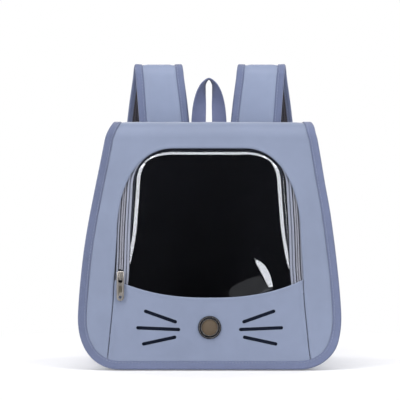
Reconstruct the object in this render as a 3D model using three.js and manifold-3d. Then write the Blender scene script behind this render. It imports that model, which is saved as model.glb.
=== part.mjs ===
// A pet carrier backpack: a soft cabin with a clear zipped window above a whisker panel, bound seams,
// two padded shoulder straps and a twisted webbing handle.
// Millimetres, +Z up. The front faces -Y, and the bag stands on z = 0 with its middle at x = 0.
import * as THREE from "three";
import { mergeVertices } from "three/addons/utils/BufferGeometryUtils.js";
import Module from "manifold-3d";

const wasm = await Module();
wasm.setup();

// Driving dimensions of the cabin
const HEIGHT = 324;
const WIDEST = 340;
const TOP_WIDTH = 276;
const TOP_ROUND = 6;
const TOP_ROUND_RISE = 26;
const CORNER_RISE = 67;
const CORNER_RUN = 56;
const SIDE_BOW = 1.4;
const FRONT_FOOT = 107;
const FRONT_HEAD = 63;
const BACK_FOOT = 104;
const BACK_HEAD = 90;
const FRONT_SWELL = 7;
const BACK_SWELL = 6;
const FRONT_FOLD = 24;
const BACK_FOLD = 11;
const BACK_TURN_DOWN = 8;

// Wall thicknesses and gaps
const PANEL = 2;
const GUSSET = 2.4;
const BACK_PAD = 5;
const LINING = 1;
const TAPE = 0.9;
const GAP = 0.35;

// Seams: the bound edge stands out in the plane of the panel, a little above the floor
const SEAM_LIFT = 2.6;
const SEAM_ALLOWANCE = 11.5;
const SEAM_FLAT = 13;
const BINDING_WIDTH = 10;
const SIDE_SWELL = 5;
const SEAM_EASE = 0.15;

// The front opening, the zip and the clear window, as half widths at heights; each ends in a round shoulder
const DOOR_ARCH = {
  legs: [
    { half: 134.6, z: -10 },
    { half: 121.5, z: 125 },
    { half: 121.5, z: 180 },
  ],
  top: { half: 43, z: 287 },
  roundness: 2.25,
};
const COIL_ARCH = {
  legs: [
    { half: 118, z: 100 },
    { half: 115.4, z: 128 },
    { half: 115, z: 176 },
  ],
  top: { half: 43, z: 292 },
  roundness: 2.2,
};
const WINDOW_ARCH = {
  legs: [
    { half: 108.6, z: 88 },
    { half: 106, z: 122 },
    { half: 97.6, z: 224 },
  ],
  top: { half: 52, z: 284.5 },
  roundness: 2,
};
const LEG_STEPS = 4;
const SHOULDER_STEPS = 8;
const TAPE_UNDER_FRAME = 6;
const COIL_WIDTH = 6;
const COIL_HEIGHT = 2.4;
const WINDOW_SWELL = 6;
const WINDOW_BEND = 20;

// The lower panel's lip, its whisker slots and its round vent
const LIP_Z = 93.5;
const LIP_RISE = 18;
const LIP_SPAN = 110;
const LIP_CURVE = 2.4;
const SLOT_WIDTH = 4.2;
const WHISKERS = [
  { innerX: 44.6, innerZ: 63, outerX: 83, outerZ: 76.4 },
  { innerX: 40.4, innerZ: 53, outerX: 93, outerZ: 55.1 },
  { innerX: 45.4, innerZ: 43, outerX: 85.5, outerZ: 34.3 },
];
const VENT_Z = 55.3;
const VENT = { outerRadius: 15, innerRadius: 11.3, barrel: 1, proud: 2.2, clearance: 0.5 };

// Zip slider and its pull tab
const SLIDER = { height: 13.4, topWidth: 9.6, footWidth: 7.6, depth: 4.3, proud: 1.6, lift: 1.2 };
const BRIDGE = { width: 2.2, bar: 1.3, reach: 3.2, below: 1.5, above: 3.5 };
const PULL = { thickness: 1.5, eyeWidth: 6.8, width: 9.4, length: 28, window: 7.2, windowWidth: 3.8, hole: 4.4 };

// Shoulder straps: the middle line of the right strap, from its sewn end over the top and down behind
const STRAP_LINE = [
  { x: 63, y: 98.6, z: 288, width: 68 },
  { x: 65, y: 97.4, z: 318, width: 68 },
  { x: 68, y: 99, z: 352, width: 67 },
  { x: 71.6, y: 103, z: 386, width: 65 },
  { x: 73, y: 107, z: 398, width: 65 },
  { x: 74.4, y: 116, z: 404.5, width: 65 },
  { x: 75.8, y: 125, z: 400, width: 65 },
  { x: 77.4, y: 130, z: 388, width: 65 },
  { x: 83, y: 136, z: 350, width: 65 },
  { x: 92, y: 144, z: 280, width: 64 },
  { x: 101, y: 145, z: 205, width: 62 },
  { x: 108, y: 139, z: 140, width: 58 },
  { x: 111, y: 134, z: 112, width: 52 },
];
const STRAP_STEPS_PER_ROW = 2;
const STRAP = { middle: 8, edge: 3.6, bindingWidth: 9.5, meshWidth: 40, mesh: 1.2 };

// Lower webbing with its adjuster, and the handle
const WEBBING = { width: 25, thickness: 1.8 };
const ADJUSTER = { width: 34, height: 26, depth: 3.6, bar: 3, slot: 6.6, tab: 16 };
const ANCHOR = { x: 118, low: 22, high: 48 };
const HANDLE_WIDTH = 20.5;
const HANDLE_THICKNESS = 2;
const HANDLE_LEG = [
  { rise: -30, offset: 14.6, turn: 0 },
  { rise: 0, offset: 14.6, turn: 4 },
  { rise: 26, offset: 13.2, turn: 26 },
  { rise: 46, offset: 10.6, turn: 54 },
  { rise: 58, offset: 6.6, turn: 76 },
  { rise: 64, offset: 0, turn: 90 },
];
const HANDLE_STEPS = 30;

const vec = (x, y, z) => new THREE.Vector3(x, y, z);
const mix = THREE.MathUtils.lerp;

// Finishes
const finish = (color, roughness, metalness = 0, more = {}) =>
  new THREE.MeshStandardMaterial({ color, roughness, metalness, ...more });
const FABRIC = finish(0x929db8, 0.75);
const RIBBON = finish(0x7a86ab, 0.8);
const WEB = finish(0x5d668b, 0.8);
const ZIP_TAPE = finish(0x9099b4, 0.8);
const ZIP_COIL = finish(0x8b8f9c, 0.5);
const NICKEL = finish(0xb9b4aa, 0.28, 1);
const GUNMETAL = finish(0x2a2a2e, 0.35, 1);
const BRASS_MESH = finish(0x6d5a43, 0.5, 0.6);
const CLEAR = finish(0xdfe5ee, 0.08, 0, { transparent: true, opacity: 0.25 });
const DARK_LINING = finish(0x1d2028, 0.9);
const DARK_MESH = finish(0x2c2a2e, 0.95);
const BLUE_PLASTIC = finish(0x59628a, 0.45);

// Closed bodies

// An indexed body whose faces point out.
function body(points, faces) {
  let volume = 0;
  for (let i = 0; i < faces.length; i += 3) {
    const [a, b, c] = [points[faces[i]], points[faces[i + 1]], points[faces[i + 2]]];
    volume += a.dot(b.clone().cross(c));
  }
  if (volume < 0) faces.reverse();
  const geometry = new THREE.BufferGeometry().setFromPoints(points);
  geometry.setIndex(faces);
  geometry.computeVertexNormals();
  return geometry;
}

// A wall between two grids of points that face each other.
function wall(outer, inner) {
  const rows = outer.length;
  const columns = outer[0].length;
  const at = (side, r, c) => (side * rows + r) * columns + c;
  const faces = [];
  const quad = (a, b, c, d) => faces.push(a, b, c, a, c, d);
  const last = { r: rows - 1, c: columns - 1 };
  for (let r = 0; r < last.r; r++) {
    for (let c = 0; c < last.c; c++) {
      quad(at(0, r, c), at(0, r, c + 1), at(0, r + 1, c + 1), at(0, r + 1, c));
      quad(at(1, r, c), at(1, r + 1, c), at(1, r + 1, c + 1), at(1, r, c + 1));
    }
    quad(at(0, r, 0), at(0, r + 1, 0), at(1, r + 1, 0), at(1, r, 0));
    quad(at(0, r, last.c), at(1, r, last.c), at(1, r + 1, last.c), at(0, r + 1, last.c));
  }
  for (let c = 0; c < last.c; c++) {
    quad(at(0, 0, c), at(1, 0, c), at(1, 0, c + 1), at(0, 0, c + 1));
    quad(at(0, last.r, c), at(0, last.r, c + 1), at(1, last.r, c + 1), at(1, last.r, c));
  }
  return body([...outer.flat(), ...inner.flat()], faces);
}

// A section carried along frames of { origin, across, up }, capped at both ends.
function sweep(frames, sectionAt) {
  const rings = frames.map(({ origin, across, up }, i) =>
    sectionAt(i / (frames.length - 1)).map(([a, u]) =>
      origin.clone().addScaledVector(across, a).addScaledVector(up, u),
    ),
  );
  const sides = rings[0].length;
  const faces = [];
  for (let i = 0; i < rings.length - 1; i++) {
    for (let k = 0; k < sides; k++) {
      const next = (k + 1) % sides;
      const [a, b, c, d] = [i * sides + k, i * sides + next, (i + 1) * sides + next, (i + 1) * sides + k];
      faces.push(a, b, c, a, c, d);
    }
  }
  const flat = sectionAt(0).map(([a, u]) => new THREE.Vector2(a, u));
  const clockwise = THREE.ShapeUtils.isClockWise(flat);
  const end = (rings.length - 1) * sides;
  for (const triangle of THREE.ShapeUtils.triangulateShape(flat, [])) {
    const [p, q, r] = clockwise ? [...triangle].reverse() : triangle;
    const cap = THREE.ShapeUtils.isClockWise([flat[p], flat[q], flat[r]]) === clockwise ? [p, q, r] : [p, r, q];
    faces.push(cap[0], cap[2], cap[1], end + cap[0], end + cap[1], end + cap[2]);
  }
  return body(rings.flat(), faces);
}

const rectangle = (width, thickness) => () => [
  [-width / 2, -thickness / 2],
  [width / 2, -thickness / 2],
  [width / 2, thickness / 2],
  [-width / 2, thickness / 2],
];

// Joining and cutting
function toSolid(geometry) {
  const bare = geometry.clone();
  bare.deleteAttribute("normal");
  bare.deleteAttribute("uv");
  const merged = mergeVertices(bare, 1e-4);
  return new wasm.Manifold(
    new wasm.Mesh({
      numProp: 3,
      vertProperties: new Float32Array(merged.attributes.position.array),
      triVerts: new Uint32Array(merged.index.array),
    }),
  );
}

function toGeometry(solid) {
  const mesh = solid.getMesh();
  const geometry = new THREE.BufferGeometry();
  geometry.setAttribute("position", new THREE.BufferAttribute(mesh.vertProperties, mesh.numProp));
  geometry.setIndex(new THREE.BufferAttribute(mesh.triVerts, 1));
  geometry.computeVertexNormals();
  return geometry;
}

const cut = (geometry, cutters) =>
  toGeometry(cutters.reduce((left, cutter) => left.subtract(toSolid(cutter)), toSolid(geometry)));
const join = (...geometries) =>
  toGeometry(geometries.map(toSolid).reduce((made, next) => made.add(next)));

// A shape drawn in x and z, extruded from one depth to another along Y.
function acrossDepth(shape, fromY, toY, curveSegments = 8) {
  const geometry = new THREE.ExtrudeGeometry(shape, {
    depth: toY - fromY,
    bevelEnabled: false,
    curveSegments,
  });
  return geometry.rotateX(Math.PI / 2).translate(0, toY, 0);
}

// Cabin surfaces

const LEAN = Math.atan2(FRONT_FOOT - FRONT_HEAD, HEIGHT);
const BACK_LEAN = Math.atan2(BACK_FOOT - BACK_HEAD, HEIGHT);
const FRONT_OUT = vec(0, -Math.cos(LEAN), Math.sin(LEAN));
const BACK_OUT = vec(0, Math.cos(BACK_LEAN), Math.sin(BACK_LEAN));
const frontY = (z) => mix(-FRONT_FOOT, -FRONT_HEAD, z / HEIGHT);
const backY = (z) => mix(BACK_FOOT, BACK_HEAD, z / HEIGHT);

// Half the width of the cabin's outline, seam tapes included, at a height.
function halfWidth(z) {
  const above = z - SEAM_LIFT;
  if (above < CORNER_RISE) {
    const drop = Math.min(1, 1 - above / CORNER_RISE);
    return WIDEST / 2 - CORNER_RUN * (1 - Math.sqrt(1 - drop * drop));
  }
  const rise = (above - CORNER_RISE) / (HEIGHT - SEAM_LIFT - CORNER_RISE);
  const rounding = Math.max(0, 1 - (HEIGHT - z) / TOP_ROUND_RISE) ** 2;
  return WIDEST / 2 - ((WIDEST - TOP_WIDTH) / 2) * rise ** SIDE_BOW - TOP_ROUND * rounding;
}

// Heights of the rows of a panel: close together round the bottom corners, then even up the sides.
function rowHeights(top, cornerSteps, sideSteps) {
  const corner = Array.from({ length: cornerSteps }, (_, i) =>
    SEAM_LIFT + CORNER_RISE * (1 - Math.cos((i / cornerSteps) * (Math.PI / 2))),
  );
  const shoulder = SEAM_LIFT + CORNER_RISE;
  const side = Array.from({ length: sideSteps + 1 }, (_, i) => mix(shoulder, top, i / sideSteps));
  return [...corner, ...side];
}

// How far the front swells out, most in the middle and nothing at the seams.
function frontSwell(x, z) {
  const across = Math.min(1, Math.abs(x) / (halfWidth(z) - SEAM_FLAT));
  const foot = SEAM_LIFT + SEAM_FLAT;
  const up = THREE.MathUtils.clamp((z - foot) / (HEIGHT - FRONT_FOLD - foot), 0, 1);
  return FRONT_SWELL * (1 - across * across) * 4 * up * (1 - up);
}

// A point on the front, some depth behind its outer face.
const frontAt = (x, z, depth = 0) =>
  vec(x, frontY(z), z).addScaledVector(FRONT_OUT, frontSwell(x, z) - depth);

// The front and top sheet's path seen from the side: up the front, over both folds and a little down the back.
const foldAt = (y, out, radius) => {
  const tangentZ = HEIGHT - radius + radius * out.z;
  return { tangentZ, centre: vec(0, y(tangentZ), tangentZ).addScaledVector(out, -radius) };
};
const FRONT_FOLD_AT = foldAt(frontY, FRONT_OUT, FRONT_FOLD);
const BACK_FOLD_AT = foldAt(backY, BACK_OUT, BACK_FOLD);
const BACK_SEAM_Z = BACK_FOLD_AT.tangentZ - BACK_TURN_DOWN;

function sheetPath(cornerSteps, sideSteps, foldSteps, topSteps) {
  const path = [];
  for (const z of rowHeights(FRONT_FOLD_AT.tangentZ, cornerSteps, sideSteps))
    path.push({ at: vec(0, frontY(z), z), out: FRONT_OUT, half: halfWidth(z), onFront: true });
  const arc = (fold, radius, from, to) => {
    for (let i = 1; i <= foldSteps; i++) {
      const angle = mix(from, to, i / foldSteps);
      const out = vec(0, Math.cos(angle), Math.sin(angle));
      const at = fold.centre.clone().addScaledVector(out, radius);
      path.push({ at, out, half: halfWidth(at.z) });
    }
  };
  arc(FRONT_FOLD_AT, FRONT_FOLD, Math.PI - LEAN, Math.PI / 2);
  for (let i = 1; i <= topSteps; i++) {
    const y = mix(FRONT_FOLD_AT.centre.y, BACK_FOLD_AT.centre.y, i / topSteps);
    path.push({ at: vec(0, y, HEIGHT), out: vec(0, 0, 1), half: halfWidth(HEIGHT) });
  }
  arc(BACK_FOLD_AT, BACK_FOLD, Math.PI / 2, BACK_LEAN);
  path.push({ at: vec(0, backY(BACK_SEAM_Z), BACK_SEAM_Z), out: BACK_OUT, half: halfWidth(BACK_SEAM_Z) });
  return path;
}

// Places across a panel: its two edges, and even steps between its flat seam strips.
function columnsAcross(half, steps) {
  const inner = Array.from({ length: steps + 1 }, (_, i) => (half - SEAM_FLAT) * mix(-1, 1, i / steps));
  return [-half, ...inner, half];
}

// Points across the sheet at one place of its path, some depth behind its outer face.
const SHEET_COLUMNS = 10;
const acrossSheet = (row, depth) =>
  columnsAcross(row.half, SHEET_COLUMNS).map((x) => {
    const swell = row.onFront ? frontSwell(x, row.at.z) : 0;
    return vec(x, row.at.y, row.at.z).addScaledVector(row.out, swell - depth);
  });

// Arches in the front: points from the left foot over the top to the right foot.
function archPoints(arch, grow = 0, fromZ = -Infinity) {
  const { legs, top, roundness } = arch;
  const shoulder = legs.at(-1);
  const foot = Math.max(fromZ, legs[0].z);
  const right = [];
  for (let i = 0; i <= LEG_STEPS; i++) {
    const z = mix(foot, shoulder.z, i / LEG_STEPS);
    right.push(new THREE.Vector2(archHalf(arch, z), z));
  }
  for (let i = 1; i <= SHOULDER_STEPS; i++) {
    const angle = ((i / SHOULDER_STEPS) * Math.PI) / 2;
    right.push(
      new THREE.Vector2(
        mix(top.half, shoulder.half, Math.cos(angle) ** (2 / roundness)),
        mix(shoulder.z, top.z, Math.sin(angle) ** (2 / roundness)),
      ),
    );
  }
  const grown = right.map((p, i) => {
    const before = right[Math.max(0, i - 1)];
    const after = right[i + 1] ?? new THREE.Vector2(0, top.z);
    const along = after.clone().sub(before).normalize();
    return new THREE.Vector2(p.x + along.y * grow, p.y - along.x * grow);
  });
  return [...grown.map((p) => new THREE.Vector2(-p.x, p.y)), ...grown.reverse()];
}

// Half the width of an arch at a height on its legs or shoulders.
function archHalf({ legs, top, roundness }, z) {
  const shoulder = legs.at(-1);
  if (z >= shoulder.z) {
    const up = Math.min(1, (z - shoulder.z) / (top.z - shoulder.z));
    return mix(top.half, shoulder.half, (1 - up ** roundness) ** (1 / roundness));
  }
  const next = Math.max(1, legs.findIndex((leg) => leg.z >= z));
  const [a, b] = [legs[next - 1], legs[next]];
  return mix(a.half, b.half, (z - a.z) / (b.z - a.z));
}

// Depths of the layers behind the front's outer face
const COIL_DEPTH = PANEL + GAP;
const TAPE_DEPTH = COIL_DEPTH + COIL_HEIGHT + GAP;

// Front and top sheet, cut away inside the door arch.
function frontPanel() {
  const path = sheetPath(7, 7, 4, 2);
  const sheet = wall(
    path.map((row) => acrossSheet(row, 0)),
    path.map((row) => acrossSheet(row, PANEL)),
  );
  const opening = acrossDepth(new THREE.Shape(archPoints(DOOR_ARCH)), -FRONT_FOOT - 60, -FRONT_HEAD + 40);
  return cut(sheet, [opening]);
}

// Height of the lower panel's lip.
const lipAt = (x) => LIP_Z + LIP_RISE * (Math.abs(x) / LIP_SPAN) ** LIP_CURVE;

// A grid of the lower panel's points, some depth behind the front's outer face.
function lowerGrid(depth, inset, columns, rows) {
  const grid = [];
  for (let r = 0; r <= rows; r++) {
    grid.push([]);
    for (let c = 0; c <= columns; c++) {
      const share = mix(-1, 1, c / columns);
      const guess = mix(SEAM_LIFT + inset, lipAt(share * DOOR_ARCH.legs[1].half) - inset, r / rows);
      const half = Math.min(archHalf(DOOR_ARCH, guess) - GAP, halfWidth(guess)) - inset;
      const x = share * half;
      grid[r].push(frontAt(x, mix(SEAM_LIFT + inset, lipAt(x) - inset, r / rows), depth));
    }
  }
  return grid;
}

// A round-ended slot between two points of x and z.
function slotShape(a, b, width) {
  const turn = Math.atan2(b.y - a.y, b.x - a.x);
  const shape = new THREE.Shape();
  shape.absarc(b.x, b.y, width / 2, turn - Math.PI / 2, turn + Math.PI / 2, false);
  shape.absarc(a.x, a.y, width / 2, turn + Math.PI / 2, turn + (3 * Math.PI) / 2, false);
  return shape;
}

// Lower panel with six whisker slots and the hole for the vent.
function lowerPanel() {
  const [front, back] = [-FRONT_FOOT - 40, -FRONT_HEAD + 20];
  const slots = WHISKERS.flatMap(({ innerX, innerZ, outerX, outerZ }) =>
    [1, -1].map((side) =>
      acrossDepth(
        slotShape(new THREE.Vector2(side * innerX, innerZ), new THREE.Vector2(side * outerX, outerZ), SLOT_WIDTH),
        front,
        back,
        5,
      ),
    ),
  );
  const hole = new THREE.Shape();
  hole.absarc(0, VENT_Z, VENT.innerRadius + VENT.barrel + VENT.clearance, 0, 2 * Math.PI);
  const sheet = wall(lowerGrid(0, 0, 14, 6), lowerGrid(PANEL, 0, 14, 6));
  return cut(sheet, [...slots, acrossDepth(hole, front, back, 12)]);
}

// Dark backing that shows through the slots and the vent.
const LOWER_LINING_DEPTH = PANEL + 3 * GAP;
const lowerLining = () =>
  wall(
    lowerGrid(LOWER_LINING_DEPTH, 20, 10, 4),
    lowerGrid(LOWER_LINING_DEPTH + LINING, 20, 10, 4),
  );

// Gusset: one strip down a side, under the cabin and up the other side.

// The cabin's outline down one side from given heights, along the floor and up the other side.
function outline(heights, floorSteps) {
  const right = [...heights].reverse().map((z) => new THREE.Vector2(halfWidth(z), z));
  const corner = right.at(-1).x;
  const floor = Array.from(
    { length: floorSteps - 1 },
    (_, i) => new THREE.Vector2(mix(corner, -corner, (i + 1) / floorSteps), SEAM_LIFT),
  );
  const left = [...right].reverse().map((p) => new THREE.Vector2(-p.x, p.y));
  return [...right, ...floor, ...left];
}

const outwards = (points) =>
  points.map((p, i) => {
    const before = points[Math.max(0, i - 1)];
    const after = points[Math.min(points.length - 1, i + 1)];
    const along = after.clone().sub(before).normalize();
    return new THREE.Vector2(-along.y, along.x);
  });

// Where the strip's front or back edge meets the panel's inner face at a height, round the folds at the top.
function innerEdge(fold, radius, face, out, depth, z) {
  if (z < fold.tangentZ) return face(z) - Math.sign(out.y) * depth;
  const rise = Math.min(z - fold.centre.z, radius - depth);
  return fold.centre.y + Math.sign(out.y) * Math.sqrt((radius - depth) ** 2 - rise ** 2);
}

const GUSSET_STEPS = [0, 0.05, 0.1, SEAM_EASE, 0.5, 1 - SEAM_EASE, 0.9, 0.95, 1];
const GUSSET_TOP = HEIGHT - PANEL - GAP;
const GUSSET_FOLD_STEPS = 3;
const GUSSET_HEIGHTS = rowHeights(FRONT_FOLD_AT.tangentZ, 6, 4);
const GUSSET_FOLD_HEIGHTS = Array.from({ length: GUSSET_FOLD_STEPS }, (_, i) => {
  const angle = ((i + 1) / GUSSET_FOLD_STEPS) * (Math.PI / 2);
  return mix(FRONT_FOLD_AT.tangentZ, GUSSET_TOP, Math.sin(angle));
});

// The strip's points some depth inside its outer face. It swells between its seams, down to the floor below.
function gussetGrid(depth, heights) {
  const points = outline(heights, 4);
  const normals = outwards(points);
  const frontClear = PANEL + GAP + depth * 0.5;
  const backClear = BACK_PAD + GAP + depth * 0.5;
  return points.map((p, i) => {
    const down = Math.max(0, -normals[i].y);
    const swell = mix(SIDE_SWELL, SEAM_ALLOWANCE + SEAM_LIFT, down ** 2);
    const fade = THREE.MathUtils.clamp((GUSSET_TOP - p.y) / CORNER_RISE, 0, 1);
    return GUSSET_STEPS.map((share) => {
      const ease = THREE.MathUtils.smoothstep(Math.min(share, 1 - share), 0, SEAM_EASE);
      const inward = SEAM_ALLOWANCE - swell * ease * fade + depth;
      const z = p.y - normals[i].y * inward;
      const front = innerEdge(FRONT_FOLD_AT, FRONT_FOLD, frontY, FRONT_OUT, frontClear, z);
      const back = innerEdge(BACK_FOLD_AT, BACK_FOLD, backY, BACK_OUT, backClear, z);
      return vec(p.x - normals[i].x * inward, mix(front, back, share), z);
    });
  });
}

const GUSSET_ROWS = [...GUSSET_HEIGHTS, ...GUSSET_FOLD_HEIGHTS];
const gusset = () => wall(gussetGrid(0, GUSSET_ROWS), gussetGrid(GUSSET, GUSSET_ROWS));
const gussetLining = () =>
  wall(gussetGrid(GUSSET + GAP, GUSSET_HEIGHTS), gussetGrid(GUSSET + GAP + LINING, GUSSET_HEIGHTS));

// Padded back, in the plane behind the cabin, below the sheet's turned-down edge.
const BACK_STEPS = 6;
const BACK_SEWN = 26;
const BACK_TOP = BACK_SEAM_Z - 0.6;
function backGrid(depth) {
  const foot = SEAM_LIFT + 2 * SEAM_FLAT;
  const head = BACK_TOP - BACK_SEWN;
  return rowHeights(BACK_TOP, 7, 5).map((z) => {
    const up = THREE.MathUtils.clamp((z - foot) / (head - foot), 0, 1);
    const half = halfWidth(z);
    return columnsAcross(half, BACK_STEPS).map((x) => {
      const share = Math.min(1, Math.abs(x) / (half - SEAM_FLAT));
      const swell = BACK_SWELL * (1 - share ** 4) * Math.min(1, 6 * up * (1 - up));
      return vec(x, backY(z), z).addScaledVector(BACK_OUT, swell - depth);
    });
  });
}
const backPanel = () => wall(backGrid(0), backGrid(BACK_PAD));

// The back's lining is flat, with the cabin's outline drawn in inside the gusset's lining.
function backLining() {
  const inset = SEAM_ALLOWANCE + GUSSET + LINING + 2;
  const corner = Array.from({ length: 6 }, (_, i) => {
    const angle = ((i / 6) * Math.PI) / 2;
    return {
      half: WIDEST / 2 - CORNER_RUN + (CORNER_RUN - inset) * Math.sin(angle),
      z: SEAM_LIFT + CORNER_RISE - (CORNER_RISE - inset) * Math.cos(angle),
    };
  });
  const side = rowHeights(BACK_TOP - 2, 0, 5).map((z) => ({ half: halfWidth(z) - inset, z }));
  const layer = (depth) =>
    [...corner, ...side].map(({ half, z }) =>
      [-half, 0, half].map((x) => vec(x, backY(z), z).addScaledVector(BACK_OUT, -depth)),
    );
  return wall(layer(BACK_PAD + GAP), layer(BACK_PAD + GAP + LINING));
}

// Lining under the top.
function topLining() {
  const [front, back] = [FRONT_FOLD_AT.centre.y, BACK_FOLD_AT.centre.y];
  const half = halfWidth(GUSSET_TOP) - SEAM_ALLOWANCE - GUSSET - LINING - 3;
  const flat = (z) => [front, back].map((y) => [-half, 0, half].map((x) => vec(x, y, z)));
  return wall(flat(HEIGHT - PANEL - GAP), flat(HEIGHT - PANEL - GAP - LINING));
}

// Bindings: a folded tape over an edge, carried along it.

// The channel's section: across is out of the panel's edge, up is out of its face.
function channel(thickness, width) {
  const slot = thickness / 2 + GAP;
  const skin = slot + TAPE;
  return () => [
    [-width, skin],
    [GAP + TAPE, skin],
    [GAP + TAPE, -skin],
    [-width, -skin],
    [-width, -slot],
    [GAP, -slot],
    [GAP, slot],
    [-width, slot],
  ];
}

// Frames along an edge: up follows the panel's face and across points out of the edge. A square frame's
// across is level.
function edgeFrames(points, ups, square = () => false) {
  return points.map((origin, i) => {
    const before = points[Math.max(0, i - 1)];
    const after = points[Math.min(points.length - 1, i + 1)];
    const along = after.clone().sub(before);
    if (square(i)) along.x = 0;
    along.normalize();
    const across = ups[i].clone().cross(along).normalize();
    return { origin, across, up: along.clone().cross(across).normalize() };
  });
}

function frontBinding() {
  const path = sheetPath(7, 5, 4, 1).reverse();
  const middle = (row, side) => vec(side * row.half, row.at.y, row.at.z).addScaledVector(row.out, -PANEL / 2);
  const right = path.map((row) => middle(row, 1));
  const left = path.map((row) => middle(row, -1)).reverse();
  const rows = [...path, ...[...path].reverse()];
  const frames = edgeFrames([...right, ...left], rows.map((row) => row.out), (i) => !rows[i].onFront);
  return sweep(frames, channel(PANEL, BINDING_WIDTH));
}

function backBinding() {
  const points = outline(rowHeights(BACK_TOP, 7, 5), 1)
    .reverse()
    .map((p) => vec(p.x, backY(p.y), p.y).addScaledVector(BACK_OUT, -BACK_PAD / 2));
  const atEnd = (i) => i === 0 || i === points.length - 1;
  return sweep(edgeFrames(points, points.map(() => BACK_OUT), atEnd), channel(BACK_PAD, BINDING_WIDTH));
}

// Zip and window

// Points of an arch on the front at a depth.
const archOnFront = (points, depth) => points.map((p) => frontAt(p.x, p.y, depth));

function bandBetween(outer, inner, depth, thickness) {
  const layer = (d) => [archOnFront(outer, d), archOnFront(inner, d)];
  return wall(layer(depth), layer(depth + thickness));
}

const ZIP_FOOT = 100;
const zipTape = () =>
  bandBetween(archPoints(DOOR_ARCH, TAPE_UNDER_FRAME, ZIP_FOOT), archPoints(WINDOW_ARCH, 4, ZIP_FOOT), TAPE_DEPTH, TAPE);

const windowBorder = () =>
  bandBetween(
    archPoints(COIL_ARCH, -COIL_WIDTH / 2 - GAP, ZIP_FOOT),
    archPoints(WINDOW_ARCH, 0, ZIP_FOOT),
    COIL_DEPTH + COIL_HEIGHT - 1.5,
    1.5,
  );

// The coil runs from the slider on the left over the arch to its right end.
const SLIDER_Z = lipAt(COIL_ARCH.legs[0].half) + SLIDER.lift + SLIDER.height / 2;
function zipCoil() {
  const start = SLIDER_Z + SLIDER.height / 2 + GAP;
  const right = archPoints(COIL_ARCH, 0, ZIP_FOOT).filter((p) => p.x > 0);
  const left = archPoints(COIL_ARCH, 0, start).filter((p) => p.x < 0);
  const points = archOnFront([...left, ...right], COIL_DEPTH + COIL_HEIGHT / 2);
  const half = COIL_WIDTH / 2;
  const [crown, shoulder] = [COIL_HEIGHT / 2, half * 0.6];
  return sweep(edgeFrames(points, points.map(() => FRONT_OUT)), () => [
    [-half, -crown],
    [half, -crown],
    [half, 0],
    [shoulder, crown],
    [-shoulder, crown],
    [-half, 0],
  ]);
}

// How far a place on the front is inside an arch.
function insideArch(points, x, z) {
  const place = new THREE.Vector3(x, z, 0);
  const nearest = new THREE.Vector3();
  const legs = points.slice(0, -1).map((p, i) => {
    const q = points[i + 1];
    const side = new THREE.Line3(vec(p.x, p.y, 0), vec(q.x, q.y, 0));
    return side.closestPointToPoint(place, true, nearest).distanceTo(place);
  });
  return Math.min(...legs);
}

// Clear window: a sheet that bends forward just inside its edge.
const WINDOW_COLUMNS = [-1, -0.94, -0.86, -0.74, -0.4, 0, 0.4, 0.74, 0.86, 0.94, 1];
const WINDOW_FOOT = 86;
const WINDOW_EDGE = 2.6;
const WINDOW_FLAT = 2.5;
function windowGrid(depth) {
  const top = WINDOW_ARCH.top.z + WINDOW_EDGE;
  const legs = [WINDOW_FOOT, 105, 140, 180, 215];
  const shoulders = [0.2, 0.42, 0.6, 0.76, 0.9, 1].map((s) => mix(WINDOW_ARCH.legs.at(-1).z, top, s));
  const edge = archPoints(WINDOW_ARCH, 0, WINDOW_ARCH.legs[0].z);
  return [...legs, ...shoulders].map((z) => {
    const half = archHalf(WINDOW_ARCH, Math.min(z, WINDOW_ARCH.top.z)) + WINDOW_EDGE;
    return WINDOW_COLUMNS.map((share) => {
      const x = share * half;
      const within = Math.abs(x) < archHalf(WINDOW_ARCH, z) && z < WINDOW_ARCH.top.z;
      const inside = within ? insideArch(edge, x, z) - WINDOW_FLAT : 0;
      const bend = THREE.MathUtils.smoothstep(inside, 0, WINDOW_BEND);
      return frontAt(x, z, depth - WINDOW_SWELL * bend * THREE.MathUtils.smoothstep(z, 100, 150));
    });
  });
}
const clearWindow = () => wall(windowGrid(TAPE_DEPTH), windowGrid(TAPE_DEPTH + TAPE));

// Vent in the lower panel, round its own Y axis with the front face towards -Y.
function ventRing() {
  const { outerRadius, innerRadius, barrel, proud } = VENT;
  const back = PANEL + GAP;
  const profile = [
    [innerRadius, -proud * 0.6],
    [innerRadius + 0.9, -proud],
    [outerRadius - 1.2, -proud],
    [outerRadius, -proud * 0.35],
    [outerRadius, -GAP],
    [innerRadius + barrel, -GAP],
    [innerRadius + barrel, back],
    [innerRadius, back],
    [innerRadius, -proud * 0.6],
  ].map(([r, y]) => new THREE.Vector2(r, y));
  return new THREE.LatheGeometry(profile, 24);
}

function ventMesh() {
  const radius = VENT.innerRadius - GAP;
  const dome = 1.2;
  const profile = [
    [0, -dome],
    [radius * 0.6, -dome * 0.7],
    [radius, 0],
    [radius, 0.8],
    [0, 0.8],
  ].map(([r, y]) => new THREE.Vector2(r, y));
  return new THREE.LatheGeometry(profile, 20);
}

// Zip slider, around its middle, with the pull tab's pivot in front of it.
const PIVOT = { y: -SLIDER.proud - BRIDGE.reach / 2, z: -SLIDER.height / 2 + BRIDGE.bar + BRIDGE.below + 0.4 };

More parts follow.
